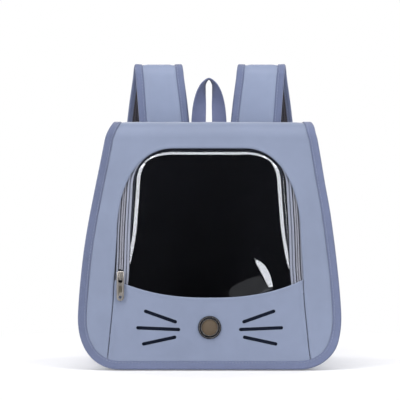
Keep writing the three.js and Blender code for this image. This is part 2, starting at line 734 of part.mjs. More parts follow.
function zipSlider() {
  const { height, topWidth, footWidth, depth, proud } = SLIDER;
  const shield = new THREE.Shape([
    new THREE.Vector2(-footWidth / 2, -height / 2),
    new THREE.Vector2(footWidth / 2, -height / 2),
    new THREE.Vector2(topWidth / 2, height * 0.1),
    new THREE.Vector2(topWidth / 2, height * 0.36),
    new THREE.Vector2(topWidth * 0.3, height / 2),
    new THREE.Vector2(-topWidth * 0.3, height / 2),
    new THREE.Vector2(-topWidth / 2, height * 0.36),
    new THREE.Vector2(-topWidth / 2, height * 0.1),
  ]);
  const bodyPart = acrossDepth(shield, -proud, depth - proud);
  const [low, high] = [PIVOT.z - BRIDGE.below, PIVOT.z + BRIDGE.above];
  const staple = new THREE.Shape([
    new THREE.Vector2(-proud + 0.3, low - BRIDGE.bar),
    new THREE.Vector2(-proud - BRIDGE.reach, low - BRIDGE.bar),
    new THREE.Vector2(-proud - BRIDGE.reach - BRIDGE.bar, low),
    new THREE.Vector2(-proud - BRIDGE.reach - BRIDGE.bar, high),
    new THREE.Vector2(-proud - BRIDGE.reach, high + BRIDGE.bar),
    new THREE.Vector2(-proud + 0.3, high + BRIDGE.bar),
    new THREE.Vector2(-proud + 0.3, high),
    new THREE.Vector2(-proud - BRIDGE.reach, high),
    new THREE.Vector2(-proud - BRIDGE.reach, low),
    new THREE.Vector2(-proud + 0.3, low),
  ]);
  const bridge = new THREE.ExtrudeGeometry(staple, { depth: BRIDGE.width, bevelEnabled: false });
  bridge.applyMatrix4(new THREE.Matrix4().makeBasis(vec(0, 1, 0), vec(0, 0, 1), vec(1, 0, 0)));
  return join(bodyPart, bridge.translate(-BRIDGE.width / 2, 0, 0));
}

// Pull tab, hanging down from its pivot bar at the origin.
function zipPull() {
  const { thickness, eyeWidth, width, length, window, windowWidth, hole } = PULL;
  const bar = 0.9;
  const tab = new THREE.Shape();
  const neck = -window - 2.4;
  const end = -length + width / 2;
  tab.moveTo(-eyeWidth / 2, bar);
  tab.lineTo(-eyeWidth / 2, neck);
  tab.lineTo(-width / 2, neck - 2.4);
  tab.lineTo(-width / 2, end);
  tab.absarc(0, end, width / 2, Math.PI, 2 * Math.PI, false);
  tab.lineTo(width / 2, neck - 2.4);
  tab.lineTo(eyeWidth / 2, neck);
  tab.lineTo(eyeWidth / 2, bar);
  const eye = new THREE.Path([
    new THREE.Vector2(-windowWidth / 2, -bar),
    new THREE.Vector2(windowWidth / 2, -bar),
    new THREE.Vector2(windowWidth / 2, -window),
    new THREE.Vector2(-windowWidth / 2, -window),
  ]);
  const round = new THREE.Path();
  round.absarc(0, end, hole / 2, 0, 2 * Math.PI, true);
  tab.holes.push(eye, round);
  return acrossDepth(tab, -thickness / 2, thickness / 2, 7);
}

// Straps and handle

const mirrored = (frames) =>
  frames.map(({ origin, across, up }) => ({
    origin: vec(-origin.x, origin.y, origin.z),
    across: vec(-across.x, across.y, across.z),
    up: vec(-up.x, up.y, up.z),
  }));

// Frames along the right strap: across points away from the middle, up out of its outer face.
function strapFrames() {
  const line = new THREE.CatmullRomCurve3(STRAP_LINE.map(({ x, y, z }) => vec(x, y, z)), false, "centripetal");
  const steps = (STRAP_LINE.length - 1) * STRAP_STEPS_PER_ROW;
  return Array.from({ length: steps + 1 }, (_, i) => {
    const along = line.getTangent(i / steps);
    const across = vec(1, 0, 0).addScaledVector(along, -along.x).normalize();
    return { origin: line.getPoint(i / steps), across, up: across.clone().cross(along) };
  });
}

// The strap's width at a share of its length, from the table's widths.
function strapWidth(share) {
  const at = share * (STRAP_LINE.length - 1);
  const row = Math.min(STRAP_LINE.length - 2, Math.floor(at));
  return mix(STRAP_LINE[row].width, STRAP_LINE[row + 1].width, at - row);
}

// A pad that is thick in the middle and thin where the bindings grip its edges.
function strapSection(share) {
  const edge = strapWidth(share) / 2;
  const grip = edge - STRAP.bindingWidth - GAP;
  const [thin, thick] = [STRAP.edge / 2, STRAP.middle / 2];
  const crown = grip - STRAP.middle;
  const upper = [
    [edge, thin],
    [grip, thin],
    [crown, thick],
    [-crown, thick],
    [-grip, thin],
    [-edge, thin],
  ];
  return [...upper, ...[...upper].reverse().map(([a, u]) => [a, -u])];
}

// The dark mesh on the side that lies on the shoulder.
function strapMeshSection(share) {
  const half = (strapWidth(share) / 2 - STRAP.bindingWidth - STRAP.middle) * 0.96;
  const face = -STRAP.middle / 2 - GAP;
  return [
    [-half, face],
    [half, face],
    [half, face - STRAP.mesh],
    [-half, face - STRAP.mesh],
  ];
}

// A binding on one edge of the strap: side 1 is the outer edge, -1 the inner one.
const strapBindingSection = (side) => (share) =>
  channel(STRAP.edge + GAP, STRAP.bindingWidth)().map(([a, u]) => [side * (strapWidth(share) / 2 + a), u]);

// Lower webbing: its frame runs from the strap's end down to the back's lower corner.
const LOW_END = STRAP_LINE.at(-1);
const LOW_TARGET = vec(ANCHOR.x, backY(ANCHOR.high) + 6, ANCHOR.high);
const LOW_DOWN = LOW_TARGET.clone().sub(vec(LOW_END.x, LOW_END.y, LOW_END.z)).normalize();
const LOW_ACROSS = vec(1, 0, 0).addScaledVector(LOW_DOWN, -LOW_DOWN.x).normalize();
const LOW_OUT = LOW_ACROSS.clone().cross(LOW_DOWN);

// A group whose x is across the webbing, y out of its face and z back up along it.
function lowGroup(side) {
  const basis = new THREE.Matrix4().makeBasis(LOW_ACROSS, LOW_OUT.clone(), LOW_DOWN.clone().negate());
  const group = new THREE.Group();
  group.position.set(LOW_END.x, LOW_END.y, LOW_END.z);
  group.quaternion.setFromRotationMatrix(basis);
  if (side > 0) return group;
  const mirror = new THREE.Group();
  mirror.scale.x = -1;
  mirror.add(group);
  return mirror;
}

// A flat band along points of y and z in the local frame.
function localBand(points, width) {
  const line = points.map(([y, z]) => vec(0, y, z));
  const frames = line.map((origin, i) => {
    const before = line[Math.max(0, i - 1)];
    const after = line[Math.min(line.length - 1, i + 1)];
    const along = after.clone().sub(before).normalize();
    return { origin, across: vec(1, 0, 0), up: vec(1, 0, 0).cross(along).normalize() };
  });
  return sweep(frames, rectangle(width, WEBBING.thickness));
}

// Half a turn of a band round a bar at a height, from the inner face to the outer one.
function turnRound(z, radius, downwards) {
  return [0, 30, 60, 90, 120, 150, 180].map((degrees) => {
    const angle = THREE.MathUtils.degToRad(degrees);
    const drop = Math.sin(angle) * radius;
    return [-Math.cos(angle) * radius, downwards ? z - drop : z + drop];
  });
}

const ADJUSTER_Z = -ADJUSTER.tab - ADJUSTER.height / 2;
const TURN_RADIUS = ADJUSTER.depth / 2 + 2 * GAP + WEBBING.thickness / 2;
const TOP_BAR_Z = ADJUSTER_Z + ADJUSTER.height / 2 - ADJUSTER.bar / 2;
const FOOT_BAR_Z = ADJUSTER_Z - ADJUSTER.height / 2 + ADJUSTER.bar / 2;

function adjuster() {
  const { width, height, depth, bar, slot } = ADJUSTER;
  const frame = new THREE.Shape([
    new THREE.Vector2(-width / 2 + 2.4, -height / 2),
    new THREE.Vector2(width / 2 - 2.4, -height / 2),
    new THREE.Vector2(width / 2, -height / 2 + 2.4),
    new THREE.Vector2(width / 2, height / 2 - 2.4),
    new THREE.Vector2(width / 2 - 2.4, height / 2),
    new THREE.Vector2(-width / 2 + 2.4, height / 2),
    new THREE.Vector2(-width / 2, height / 2 - 2.4),
    new THREE.Vector2(-width / 2, -height / 2 + 2.4),
  ]);
  const half = WEBBING.width / 2 + 1;
  for (const middle of [height / 2 - bar - slot / 2, -height / 2 + bar + slot / 2])
    frame.holes.push(
      new THREE.Path([
        new THREE.Vector2(-half, middle - slot / 2),
        new THREE.Vector2(half, middle - slot / 2),
        new THREE.Vector2(half, middle + slot / 2),
        new THREE.Vector2(-half, middle + slot / 2),
      ]),
    );
  return acrossDepth(frame, -depth / 2, depth / 2).translate(0, 0, ADJUSTER_Z);
}

// The short tab at the strap's end, turned round the adjuster's top bar.
const strapTab = () =>
  localBand(
    [[0, -4 * GAP], [-TURN_RADIUS * 0.6, -ADJUSTER.tab * 0.45], [-TURN_RADIUS, TOP_BAR_Z + 2], ...turnRound(TOP_BAR_Z - 0.6, TURN_RADIUS, true), [TURN_RADIUS, TOP_BAR_Z + 6]],
    WEBBING.width,
  );

// The lower webbing, turned round the adjuster's foot bar and laid on the back near the bottom.
function lowerWebbing() {
  const toLocal = (x, y, z) => {
    const p = vec(x - LOW_END.x, y - LOW_END.y, z - LOW_END.z);
    return [p.dot(LOW_OUT), -p.dot(LOW_DOWN)];
  };
  const rest = (z) => toLocal(ANCHOR.x, backY(z) + WEBBING.thickness / 2 + BACK_SWELL + 0.5, z);
  const turn = turnRound(FOOT_BAR_Z + 0.6, TURN_RADIUS, false).reverse();
  const run = [[TURN_RADIUS, FOOT_BAR_Z - 8], ...turn, [-TURN_RADIUS, FOOT_BAR_Z - 4], rest(ANCHOR.high), rest(ANCHOR.low)];
  return localBand(run, WEBBING.width);
}

// Handle: a webbing loop whose flat ends lie on the back and whose top is turned edge on.
function handleFrames() {
  const y = (z) => backY(Math.min(z, HEIGHT)) + HANDLE_THICKNESS / 2 + 2 * GAP;
  const leg = HANDLE_LEG.map(({ rise, offset, turn }) => ({
    at: vec(offset, y(HEIGHT + rise), HEIGHT + rise),
    turn,
  }));
  const loop = [
    ...leg.map(({ at, turn }) => ({ at: vec(-at.x, at.y, at.z), turn })),
    ...leg.slice(0, -1).reverse().map(({ at, turn }) => ({ at, turn: 180 - turn })),
  ];
  const line = new THREE.CatmullRomCurve3(loop.map(({ at }) => at), false, "centripetal");
  const last = loop.length - 1;
  return Array.from({ length: HANDLE_STEPS + 1 }, (_, i) => {
    const share = i / HANDLE_STEPS;
    const row = Math.min(last - 1, Math.floor(share * last));
    const turn = THREE.MathUtils.degToRad(mix(loop[row].turn, loop[row + 1].turn, share * last - row));
    const along = line.getTangent(share);
    const across = vec(Math.cos(turn), Math.sin(turn), 0);
    across.addScaledVector(along, -across.dot(along)).normalize();
    return { origin: line.getPoint(share), across, up: across.clone().cross(along) };
  });
}
const handle = () => sweep(handleFrames(), rectangle(HANDLE_WIDTH, HANDLE_THICKNESS));

// The bag
const bag = new THREE.Group();
const add = (parent, name, geometry, material) => {
  const mesh = new THREE.Mesh(geometry, material);
  mesh.name = name;
  parent.add(mesh);
  return mesh;
};

add(bag, "front_panel", frontPanel(), FABRIC);
add(bag, "lower_panel", lowerPanel(), FABRIC);
add(bag, "lower_lining", lowerLining(), DARK_LINING);
add(bag, "gusset", gusset(), FABRIC);
add(bag, "gusset_lining", gussetLining(), DARK_LINING);
add(bag, "back_panel", backPanel(), FABRIC);
add(bag, "back_lining", backLining(), DARK_LINING);
add(bag, "top_lining", topLining(), DARK_LINING);
add(bag, "front_binding", frontBinding(), RIBBON);
add(bag, "back_binding", backBinding(), RIBBON);
add(bag, "zip_tape", zipTape(), ZIP_TAPE);
add(bag, "zip_coil", zipCoil(), ZIP_COIL);
add(bag, "window_border", windowBorder(), FABRIC);
add(bag, "window", clearWindow(), CLEAR);
add(bag, "handle", handle(), WEB);

// Vent, leaning with the front
const vent = new THREE.Group();
vent.position.copy(frontAt(0, VENT_Z));
const ventRise = frontAt(0, VENT_Z + VENT.outerRadius).sub(frontAt(0, VENT_Z - VENT.outerRadius));
vent.rotation.x = -Math.atan2(ventRise.y, ventRise.z);
add(vent, "vent_ring", ventRing(), GUNMETAL);
add(vent, "vent_mesh", ventMesh(), BRASS_MESH);
bag.add(vent);

// Slider and pull, leaning with the front
const zip = new THREE.Group();
zip.position.copy(frontAt(-archHalf(COIL_ARCH, SLIDER_Z), SLIDER_Z));
zip.rotation.x = -LEAN;
add(zip, "zip_slider", zipSlider(), NICKEL);
add(zip, "zip_pull", zipPull(), NICKEL).position.set(0, PIVOT.y, PIVOT.z);
bag.add(zip);

// Shoulder straps
for (const [name, side] of [["right", 1], ["left", -1]]) {
  const frames = side > 0 ? strapFrames() : mirrored(strapFrames());
  add(bag, `strap_${name}`, sweep(frames, strapSection), FABRIC);
  add(bag, `strap_mesh_${name}`, sweep(frames, strapMeshSection), DARK_MESH);
  add(bag, `strap_binding_outer_${name}`, sweep(frames, strapBindingSection(1)), RIBBON);
  add(bag, `strap_binding_inner_${name}`, sweep(frames, strapBindingSection(-1)), RIBBON);
  const low = lowGroup(side);
  const holder = side > 0 ? low : low.children[0];
  add(holder, `strap_tab_${name}`, strapTab(), WEB);
  add(holder, `adjuster_${name}`, adjuster(), BLUE_PLASTIC);
  add(holder, `lower_webbing_${name}`, lowerWebbing(), WEB);
  bag.add(low);
}

export default bag;
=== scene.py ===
"""Pet carrier backpack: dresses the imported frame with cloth, zip, window, straps and fittings."""

import math

import bmesh
import bpy
import numpy as np
from mathutils import Matrix, Vector


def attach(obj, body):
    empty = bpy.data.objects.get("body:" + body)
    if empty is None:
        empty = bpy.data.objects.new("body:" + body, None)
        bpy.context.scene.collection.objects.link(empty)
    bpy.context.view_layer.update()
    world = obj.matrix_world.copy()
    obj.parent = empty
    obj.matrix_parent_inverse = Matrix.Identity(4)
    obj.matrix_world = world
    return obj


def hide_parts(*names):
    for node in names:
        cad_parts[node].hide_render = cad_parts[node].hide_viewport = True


bl_info = {
    "name": "Pet Carrier Backpack",
    "version": (1, 0, 0),
    "blender": (4, 5, 0),
    "location": "3D View > Sidebar > Carrier",
    "description": "Builds a soft pet carrier backpack piece by piece around its frame",
    "category": "Object",
}

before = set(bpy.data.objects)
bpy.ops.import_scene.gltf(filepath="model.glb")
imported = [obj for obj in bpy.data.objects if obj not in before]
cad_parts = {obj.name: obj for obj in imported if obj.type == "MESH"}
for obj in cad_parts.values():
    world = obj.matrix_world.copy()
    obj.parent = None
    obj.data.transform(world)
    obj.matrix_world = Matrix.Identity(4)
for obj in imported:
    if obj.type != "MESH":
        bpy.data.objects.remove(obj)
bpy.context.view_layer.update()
CABIN = "carrier"
PULL_BODY = "pull_tab"
MM = 0.001
# Coordinates on the flat cloth count in tenths of a metre
CUT_SCALE = 10

# Cabin shape, in millimetres

HEIGHT = 324.0
WIDEST = 340.0
TOP_WIDTH = 276.0
TOP_ROUND = 6.0
TOP_ROUND_RISE = 26.0
CORNER_RISE = 67.0
CORNER_RUN = 56.0
CORNER_ROUND = 2.25
SIDE_BOW = 1.4
FRONT_FOOT, FRONT_HEAD = 107.0, 63.0
BACK_FOOT, BACK_HEAD = 104.0, 90.0
FRONT_SWELL = 7.0
FRONT_FOLD, BACK_FOLD, BACK_TURN_DOWN = 24.0, 11.0, 8.0
PANEL, GUSSET, BACK_PAD, LINING, TAPE, GAP = 2.0, 2.4, 5.0, 1.0, 0.9, 0.35
FRONT_SKIN, SIDE_SKIN, LINING_SKIN, RIBBON_SKIN, ROLL_SKIN = 0.95, 2.0, 0.9, 0.7, 0.5
SEAM_LIFT, SEAM_ALLOWANCE, SEAM_FLAT = 2.6, 11.5, 13.0
BINDING_WIDTH = 10.0
# Row of stitches on a ribbon: how far in from its edge, and how deep it pulls in
SEAM_IN, SEAM_SINK = 2.4, 0.3
SIDE_SWELL = 5.0
SEAM_EASE = 0.15
COIL_HEIGHT, COIL_ROW = 2.4, 1.36
COIL_DEPTH = PANEL + GAP
TAPE_DEPTH = COIL_DEPTH + COIL_HEIGHT + GAP
ZIP_FOOT = 100.0
WINDOW_SWELL = 6.0
# How the filled bag stands: left top in, right top squarer and eased in, right corner full, top edges down
TOP_LEAN, TOP_SQUARE, TOP_EASE, CORNER_FULL, EDGE_DROP = 5.6, 3.6, 1.2, 1.7, 1.2

# Arches: half widths at heights up the legs, the flat top's half width and height, and the roundness
DOOR_ARCH = ([(135.2, -10), (125.7, 88), (123.7, 131), (121.2, 173)], (45, 289.6), 2.2)
DOOR_SHIFT = -1.2
COIL_ARCH = ([(118, 100), (115.4, 128), (114.3, 180), (111.4, 236)], (43, 300), 2.2)
WINDOW_ARCH = ([(109.4, 88), (107, 122), (98.4, 240)], (45, 287.6), 2.45)
# Bends in a leg are evened out over this height up and down, by so many samples
LEG_SOFT, LEG_SAMPLES = 12, 9

# The lower panel's lip: height in the middle, rise at a reach to the side, and how late it rises
LIP_MIDDLE, LIP_RISE, LIP_REACH, LIP_BEND = 93.5, 18, 110, 2.4

LEAN = math.atan2(FRONT_FOOT - FRONT_HEAD, HEIGHT)
BACK_LEAN = math.atan2(BACK_FOOT - BACK_HEAD, HEIGHT)
FRONT_OUT = np.array([0, -math.cos(LEAN), math.sin(LEAN)])
BACK_OUT = np.array([0, math.cos(BACK_LEAN), math.sin(BACK_LEAN)])
UP = np.array([0.0, 0.0, 1.0])
OTHER_SIDE = [-1, 1, 1]


def mix(a, b, t):
    return a + (b - a) * t


def smooth(x, low, high):
    t = np.clip((np.asarray(x, float) - low) / (high - low), 0, 1)
    return t * t * (3 - 2 * t)


def unit(v):
    v = np.asarray(v, float)
    return v / np.maximum(np.linalg.norm(v, axis=-1, keepdims=True), 1e-12)


def stack(*parts):
    return np.stack(np.broadcast_arrays(*[np.asarray(p, float) for p in parts]), -1)


def front_y(z):
    return mix(-FRONT_FOOT, -FRONT_HEAD, np.asarray(z, float) / HEIGHT)


def back_y(z):
    return mix(BACK_FOOT, BACK_HEAD, np.asarray(z, float) / HEIGHT)


def half_width(z):
    """Half the width of the cabin's outline at a height."""
    z = np.asarray(z, float)
    above = z - SEAM_LIFT
    drop = np.clip(1 - above / CORNER_RISE, 0, 1)
    corner = WIDEST / 2 - CORNER_RUN * (1 - (1 - drop**CORNER_ROUND) ** (1 / CORNER_ROUND))
    rise = np.clip((above - CORNER_RISE) / (HEIGHT - SEAM_LIFT - CORNER_RISE), 0, 1)
    rounding = np.maximum(0, 1 - (HEIGHT - z) / TOP_ROUND_RISE) ** 2
    side = WIDEST / 2 - (WIDEST - TOP_WIDTH) / 2 * rise**SIDE_BOW - TOP_ROUND * rounding
    return np.where(above < CORNER_RISE, corner, side)


def front_swell(x, z):
    """How far the front swells out, most in its middle and nothing at the seams."""
    across = np.minimum(1, np.abs(x) / (half_width(z) - SEAM_FLAT))
    foot = SEAM_LIFT + SEAM_FLAT
    up = np.clip((np.asarray(z, float) - foot) / (HEIGHT - FRONT_FOLD - foot), 0, 1)
    crown = 4 * up * (1 - up)
    crown = mix(crown, crown**1.4, smooth(up, 0.5, 0.92))
    return FRONT_SWELL * (1 - across**2) * crown


def front_at(x, z, depth=0.0):
    """Points on the front, some depth behind its outer face."""
    x, z, depth = np.broadcast_arrays(*[np.asarray(p, float) for p in (x, z, depth)])
    return stack(x, front_y(z), z) + (front_swell(x, z) - depth)[..., None] * FRONT_OUT


def fold(face, out, radius):
    """Height where a face turns into the fold at the top, and the fold's centre as y and z."""
    tangent = HEIGHT - radius + radius * out[2]
    return tangent, np.array([float(face(tangent)), tangent]) - radius * out[1:]


FRONT_TANGENT, FRONT_CENTRE = fold(front_y, FRONT_OUT, FRONT_FOLD)
BACK_TANGENT, BACK_CENTRE = fold(back_y, BACK_OUT, BACK_FOLD)
BACK_SEAM_Z = BACK_TANGENT - BACK_TURN_DOWN
BACK_TOP = BACK_SEAM_Z - 0.6
# A place inside the cabin, which outer faces look away from
MIDDLE = (0, 0, 160)


def top_path(fold_steps, top_steps):
    """Places and outward directions on the sheet's way over the top, down to its turned edge."""
    places, outs = [], []

    def arc(centre, radius, start, end):
        for angle in np.linspace(start, end, fold_steps + 1):
            out = np.array([0, math.cos(angle), math.sin(angle)])
            places.append(np.array([0, *centre]) + radius * out)
            outs.append(out)

    arc(FRONT_CENTRE, FRONT_FOLD, math.pi - LEAN, math.pi / 2)
    for y in np.linspace(FRONT_CENTRE[0], BACK_CENTRE[0], top_steps + 1)[1:-1]:
        places.append(np.array([0, y, HEIGHT]))
        outs.append(UP)
    arc(BACK_CENTRE, BACK_FOLD, math.pi / 2, BACK_LEAN)
    for z in np.linspace(BACK_TANGENT, BACK_SEAM_Z, 4)[1:]:
        places.append(np.array([0, float(back_y(z)), z]))
        outs.append(BACK_OUT)
    return np.array(places), np.array(outs)


def arch_half(arch, z):
    """Half the width of an arch at a height."""
    legs, (top_half, top_z), roundness = arch
    shoulder_half, shoulder_z = legs[-1]
    z = np.asarray(z, float)
    up = np.clip((z - shoulder_z) / (top_z - shoulder_z), 0, 1)
    shoulder = mix(top_half, shoulder_half, (1 - up**roundness) ** (1 / roundness))
    halves, heights = zip(*legs)
    leg = np.interp(z, heights, halves)
    beside = np.linspace(-LEG_SOFT, LEG_SOFT, LEG_SAMPLES)
    soft = sum(np.interp(z + d, heights, halves) for d in beside) / LEG_SAMPLES
    inside = (z > heights[0] + LEG_SOFT) & (z < shoulder_z - LEG_SOFT)
    return np.where(z >= shoulder_z, shoulder, np.where(inside, soft, leg))


def shoulder_at(arch, angle):
    """Points of x and z on an arch's right shoulder, from its leg at 0 to its flat top at a right angle."""
    legs, (top_half, top_z), roundness = arch
    shoulder_half, shoulder_z = legs[-1]
    return stack(
        mix(top_half, shoulder_half, np.cos(angle).clip(0) ** (2 / roundness)),
        mix(shoulder_z, top_z, np.sin(angle) ** (2 / roundness)),
    )


def arch_line(arch, step=3.0, grow=0.0, from_z=-1e9, left_from=None):
    """Points of x and z along an arch, from its left foot over the top to its right foot, grown outwards."""
    legs = arch[0]
    shoulder = shoulder_at(arch, np.linspace(0, math.pi / 2, 90)[1:])

    def side(foot):
        z = np.linspace(foot, legs[-1][1], 80)
        return np.concatenate([stack(arch_half(arch, z), z), shoulder])

    foot = max(from_z, legs[0][1])
    left = side(foot if left_from is None else left_from) * [-1, 1]
    line = resample(np.concatenate([left, side(foot)[::-1]]), step)
    return line + grow * square_to(line)


def heading(line):
    return unit(np.gradient(line, axis=0))


def square_to(line):
    """Directions square to a line of x and z, outwards on an arch that starts at its left foot."""
    along = heading(line)
    return stack(-along[:, 1], along[:, 0])


def lengths(line):
    return np.concatenate([[0], np.cumsum(np.linalg.norm(np.diff(line, axis=0), axis=1))])


def between(at, values, spots):
    """Rows of values that are known at some lengths, read off at other spots."""
    return np.stack([np.interp(spots, at, values[:, k]) for k in range(values.shape[1])], -1)


def even(line, count):
    """The same line as a fixed number of points, evenly spread."""
    at = lengths(line)
    return between(at, line, np.linspace(0, at[-1], count))


def resample(line, step):
    """The same line with points an even step apart."""
    line = np.asarray(line, float)
    return even(line, max(2, int(round(lengths(line)[-1] / step)) + 1))


def lip_at(x):
    """Height of the lower panel's lip."""
    return LIP_MIDDLE + LIP_RISE * (np.abs(x) / LIP_REACH) ** LIP_BEND


def side_heights(top, corner_steps, side_steps):
    """Heights up the cabin's outline, close together at the foot of its low corner."""
    corner = SEAM_LIFT + CORNER_RISE * (1 - np.cos(np.linspace(0, math.pi / 2, corner_steps)))
    return np.concatenate([corner[:-1], np.linspace(SEAM_LIFT + CORNER_RISE, top, side_steps)])


def outline(top, step=4.0):
    """The cabin's outline in x and z, down the right side, along the floor and up the left side."""
    z = side_heights(top, 60, 80)[::-1]
    right = stack(half_width(z), z)
    return resample(np.concatenate([right, right[::-1] * [-1, 1]]), step)


def uneven(points, size, seed):
    """A soft unevenness from -1 to 1 at points, made of fixed slow waves."""
    rng = np.random.default_rng(seed)
    total = np.zeros(points.shape[:-1])
    for share in (1.0, 0.6, 0.35):
        for _ in range(3):
            way = unit(rng.normal(size=3)) * 2 * math.pi / (size * share)
            total += share * np.sin(points @ way + rng.uniform(0, 6.28))
    return total / 4


# Mesh making


def grid_faces(rows, columns, loop=False):
    """Quads of a grid, as indices and as grid places; a looped grid joins its last column to its first."""
    r, c = np.meshgrid(np.arange(rows - 1), np.arange(columns if loop else columns - 1), indexing="ij")
    corners = [(r, c), (r, c + 1), (r + 1, c + 1), (r + 1, c)]
    quads = np.stack([i * columns + j % columns for i, j in corners], -1).reshape(-1, 4)
    places = np.stack([np.stack([i, j], -1) for i, j in corners], -2).reshape(-1, 4, 2)
    return quads, places


def metric(grid, loop=False):
    """Cloth coordinates of a grid in millimetres: along its columns and along its rows."""
    wide = np.concatenate([grid, grid[:, :1]], 1) if loop else grid
    across = np.linalg.norm(np.diff(wide, axis=1), axis=-1)
    u = np.concatenate([np.zeros((len(wide), 1)), np.cumsum(across, 1)], 1)
    if not loop:
        u = u - u[:, -1:] / 2
    down = np.linalg.norm(np.diff(wide, axis=0), axis=-1)
    v = np.concatenate([np.zeros((1, wide.shape[1])), np.cumsum(down, 0)], 0)
    return np.stack([u, v], -1)


def new_piece(name, points, faces, cut=None):
    """A mesh object from points in millimetres; cut holds each face corner's place on the flat cloth."""
    mesh = bpy.data.meshes.new(name)
    places = np.asarray(points, float).reshape(-1, 3) * MM
    mesh.from_pydata(places.tolist(), [], [list(map(int, f)) for f in faces])
    if cut is not None:
        layer = mesh.uv_layers.new(name="cut")
        layer.data.foreach_set("uv", np.asarray(cut, np.float32).reshape(-1) * MM * CUT_SCALE)
    mesh.polygons.foreach_set("use_smooth", np.full(len(mesh.polygons), True))
    mesh.update()
    made = bpy.data.objects.new(name, mesh)
    bpy.context.scene.collection.objects.link(made)
    return made


def facing(points, quads, centre, inwards=False):
    """True where the faces already point away from a centre, or towards it."""
    p = points.reshape(-1, 3)[quads]
    normal = np.cross(p[:, 2] - p[:, 0], p[:, 3] - p[:, 1])
    away = ((p.mean(1) - np.asarray(centre)) * normal).sum()
    return (away < 0) if inwards else (away > 0)


def turned(points, quads, corners, centre=MIDDLE, inwards=False):
    """Quads and their corners' places on the cloth, facing away from a centre or towards it."""
    if facing(points, quads, centre, inwards):
        return quads, corners
    return quads[:, ::-1], corners[:, ::-1]


def grid_piece(name, grid, centre=MIDDLE, inwards=False, cut=None):
    """A sheet over a grid of points, facing away from a centre or towards it."""
    quads, places = grid_faces(*grid.shape[:2])
    cut = metric(grid) if cut is None else cut
    corners = cut[places[..., 0], places[..., 1]]
    return new_piece(name, grid, *turned(grid, quads, corners, centre, inwards))


def fresh():
    """Leaves edit mode and selects nothing."""
    if bpy.context.object is not None and bpy.context.object.mode != "OBJECT":
        bpy.ops.object.mode_set(mode="OBJECT")
    bpy.ops.object.select_all(action="DESELECT")


def set_in():
    """Puts the new primitive's place, turn and size into its mesh."""
    bpy.ops.object.transform_apply(location=True, rotation=True, scale=True)
    return bpy.context.object


def alone(piece):
    """Makes a piece the only selected one and the active one."""
    fresh()
    piece.select_set(True)
    bpy.context.view_layer.objects.active = piece
    return piece


def modify(piece, kind, **settings):
    """Adds a modifier to a piece and applies it."""
    alone(piece)
    added = piece.modifiers.new(kind.lower(), kind)
    for key, value in settings.items():
        setattr(added, key, value)
    bpy.ops.object.modifier_apply(modifier=added.name)
    return piece


def corners_of(a):
    """The four corners of each cell of a grid of values."""
    return np.stack([a[:-1, :-1], a[:-1, 1:], a[1:, 1:], a[1:, :-1]], 2)


def thicken(piece, thickness):
    """Gives a sheet its thickness behind its face."""
    return modify(piece, "SOLIDIFY", thickness=thickness * MM, offset=-1.0, use_even_offset=True)


def sweep_piece(name, origins, acrosses, ups, section, closed=True):
    """A section of across and up carried along frames; a closed one is capped at both ends."""
    section = np.asarray(section, float)
    if section.ndim == 2:
        section = np.broadcast_to(section, (len(origins), *section.shape))
    grid = origins[:, None] + section[..., :1] * acrosses[:, None] + section[..., 1:] * ups[:, None]
    quads, places = grid_faces(grid.shape[0], grid.shape[1], closed)
    corners = metric(grid, closed)[places[..., 0], places[..., 1]]
    middle = np.repeat(grid.mean(1)[:-1], len(quads) // (len(grid) - 1), 0)
    faces, cut = [list(q) for q in quads], list(corners.reshape(-1, 2))
    if closed:
        sides = grid.shape[1]
        last = (len(grid) - 1) * sides
        faces += [list(range(sides))[::-1], list(range(last, last + sides))]
        for ring in (section[0][::-1], section[-1]):
            cut += list(ring)
    made = new_piece(name, grid, faces, np.array(cut))
    if not facing(grid, quads, middle):
        made.data.flip_normals()
    return made


def points_of(piece):
    """A piece's points in millimetres."""
    points = np.empty(len(piece.data.vertices) * 3, np.float32)
    piece.data.vertices.foreach_get("co", points)
    return points.reshape(-1, 3).astype(float) / MM


def set_points(piece, points):
    piece.data.vertices.foreach_set("co", (points * MM).astype(np.float32).ravel())
    piece.data.update()
    return piece


def leaned(piece):
    """Sets a cabin piece as it stands: the top leans in a little on one side, one low corner is fuller."""
    points = points_of(piece)
    x, z = points[:, 0], points[:, 2]
    share = np.abs(x) / half_width(z)
    top = TOP_LEAN * smooth(z, 138, 310) * (x < 0)
    top = top + (TOP_SQUARE * smooth(z, 306, 323) - TOP_EASE * smooth(z, 200, 250)) * (x > 0)
    corner = CORNER_FULL * np.exp(-(((z - 24) / 17) ** 2)) * smooth(share, 0.78, 1.0) * (x > 0)
    x = x + top * smooth(share, 0.72, 0.98) + corner
    z = z - EDGE_DROP * smooth(z, 300, 322) * smooth(share, 0.84, 0.97)
    return set_points(piece, stack(x, points[:, 1], z))


# Rings of one stitch: place along it, lift off the cloth and radius, as shares of its length and width
STITCH_RINGS = [(-0.5, -0.3, 0.3), (-0.32, 0.12, 0.48), (0, 0.26, 0.5), (0.32, 0.12, 0.48), (0.5, -0.3, 0.3)]
STITCH_SIDES = 6
STITCH_POINTS = STITCH_SIDES * len(STITCH_RINGS)


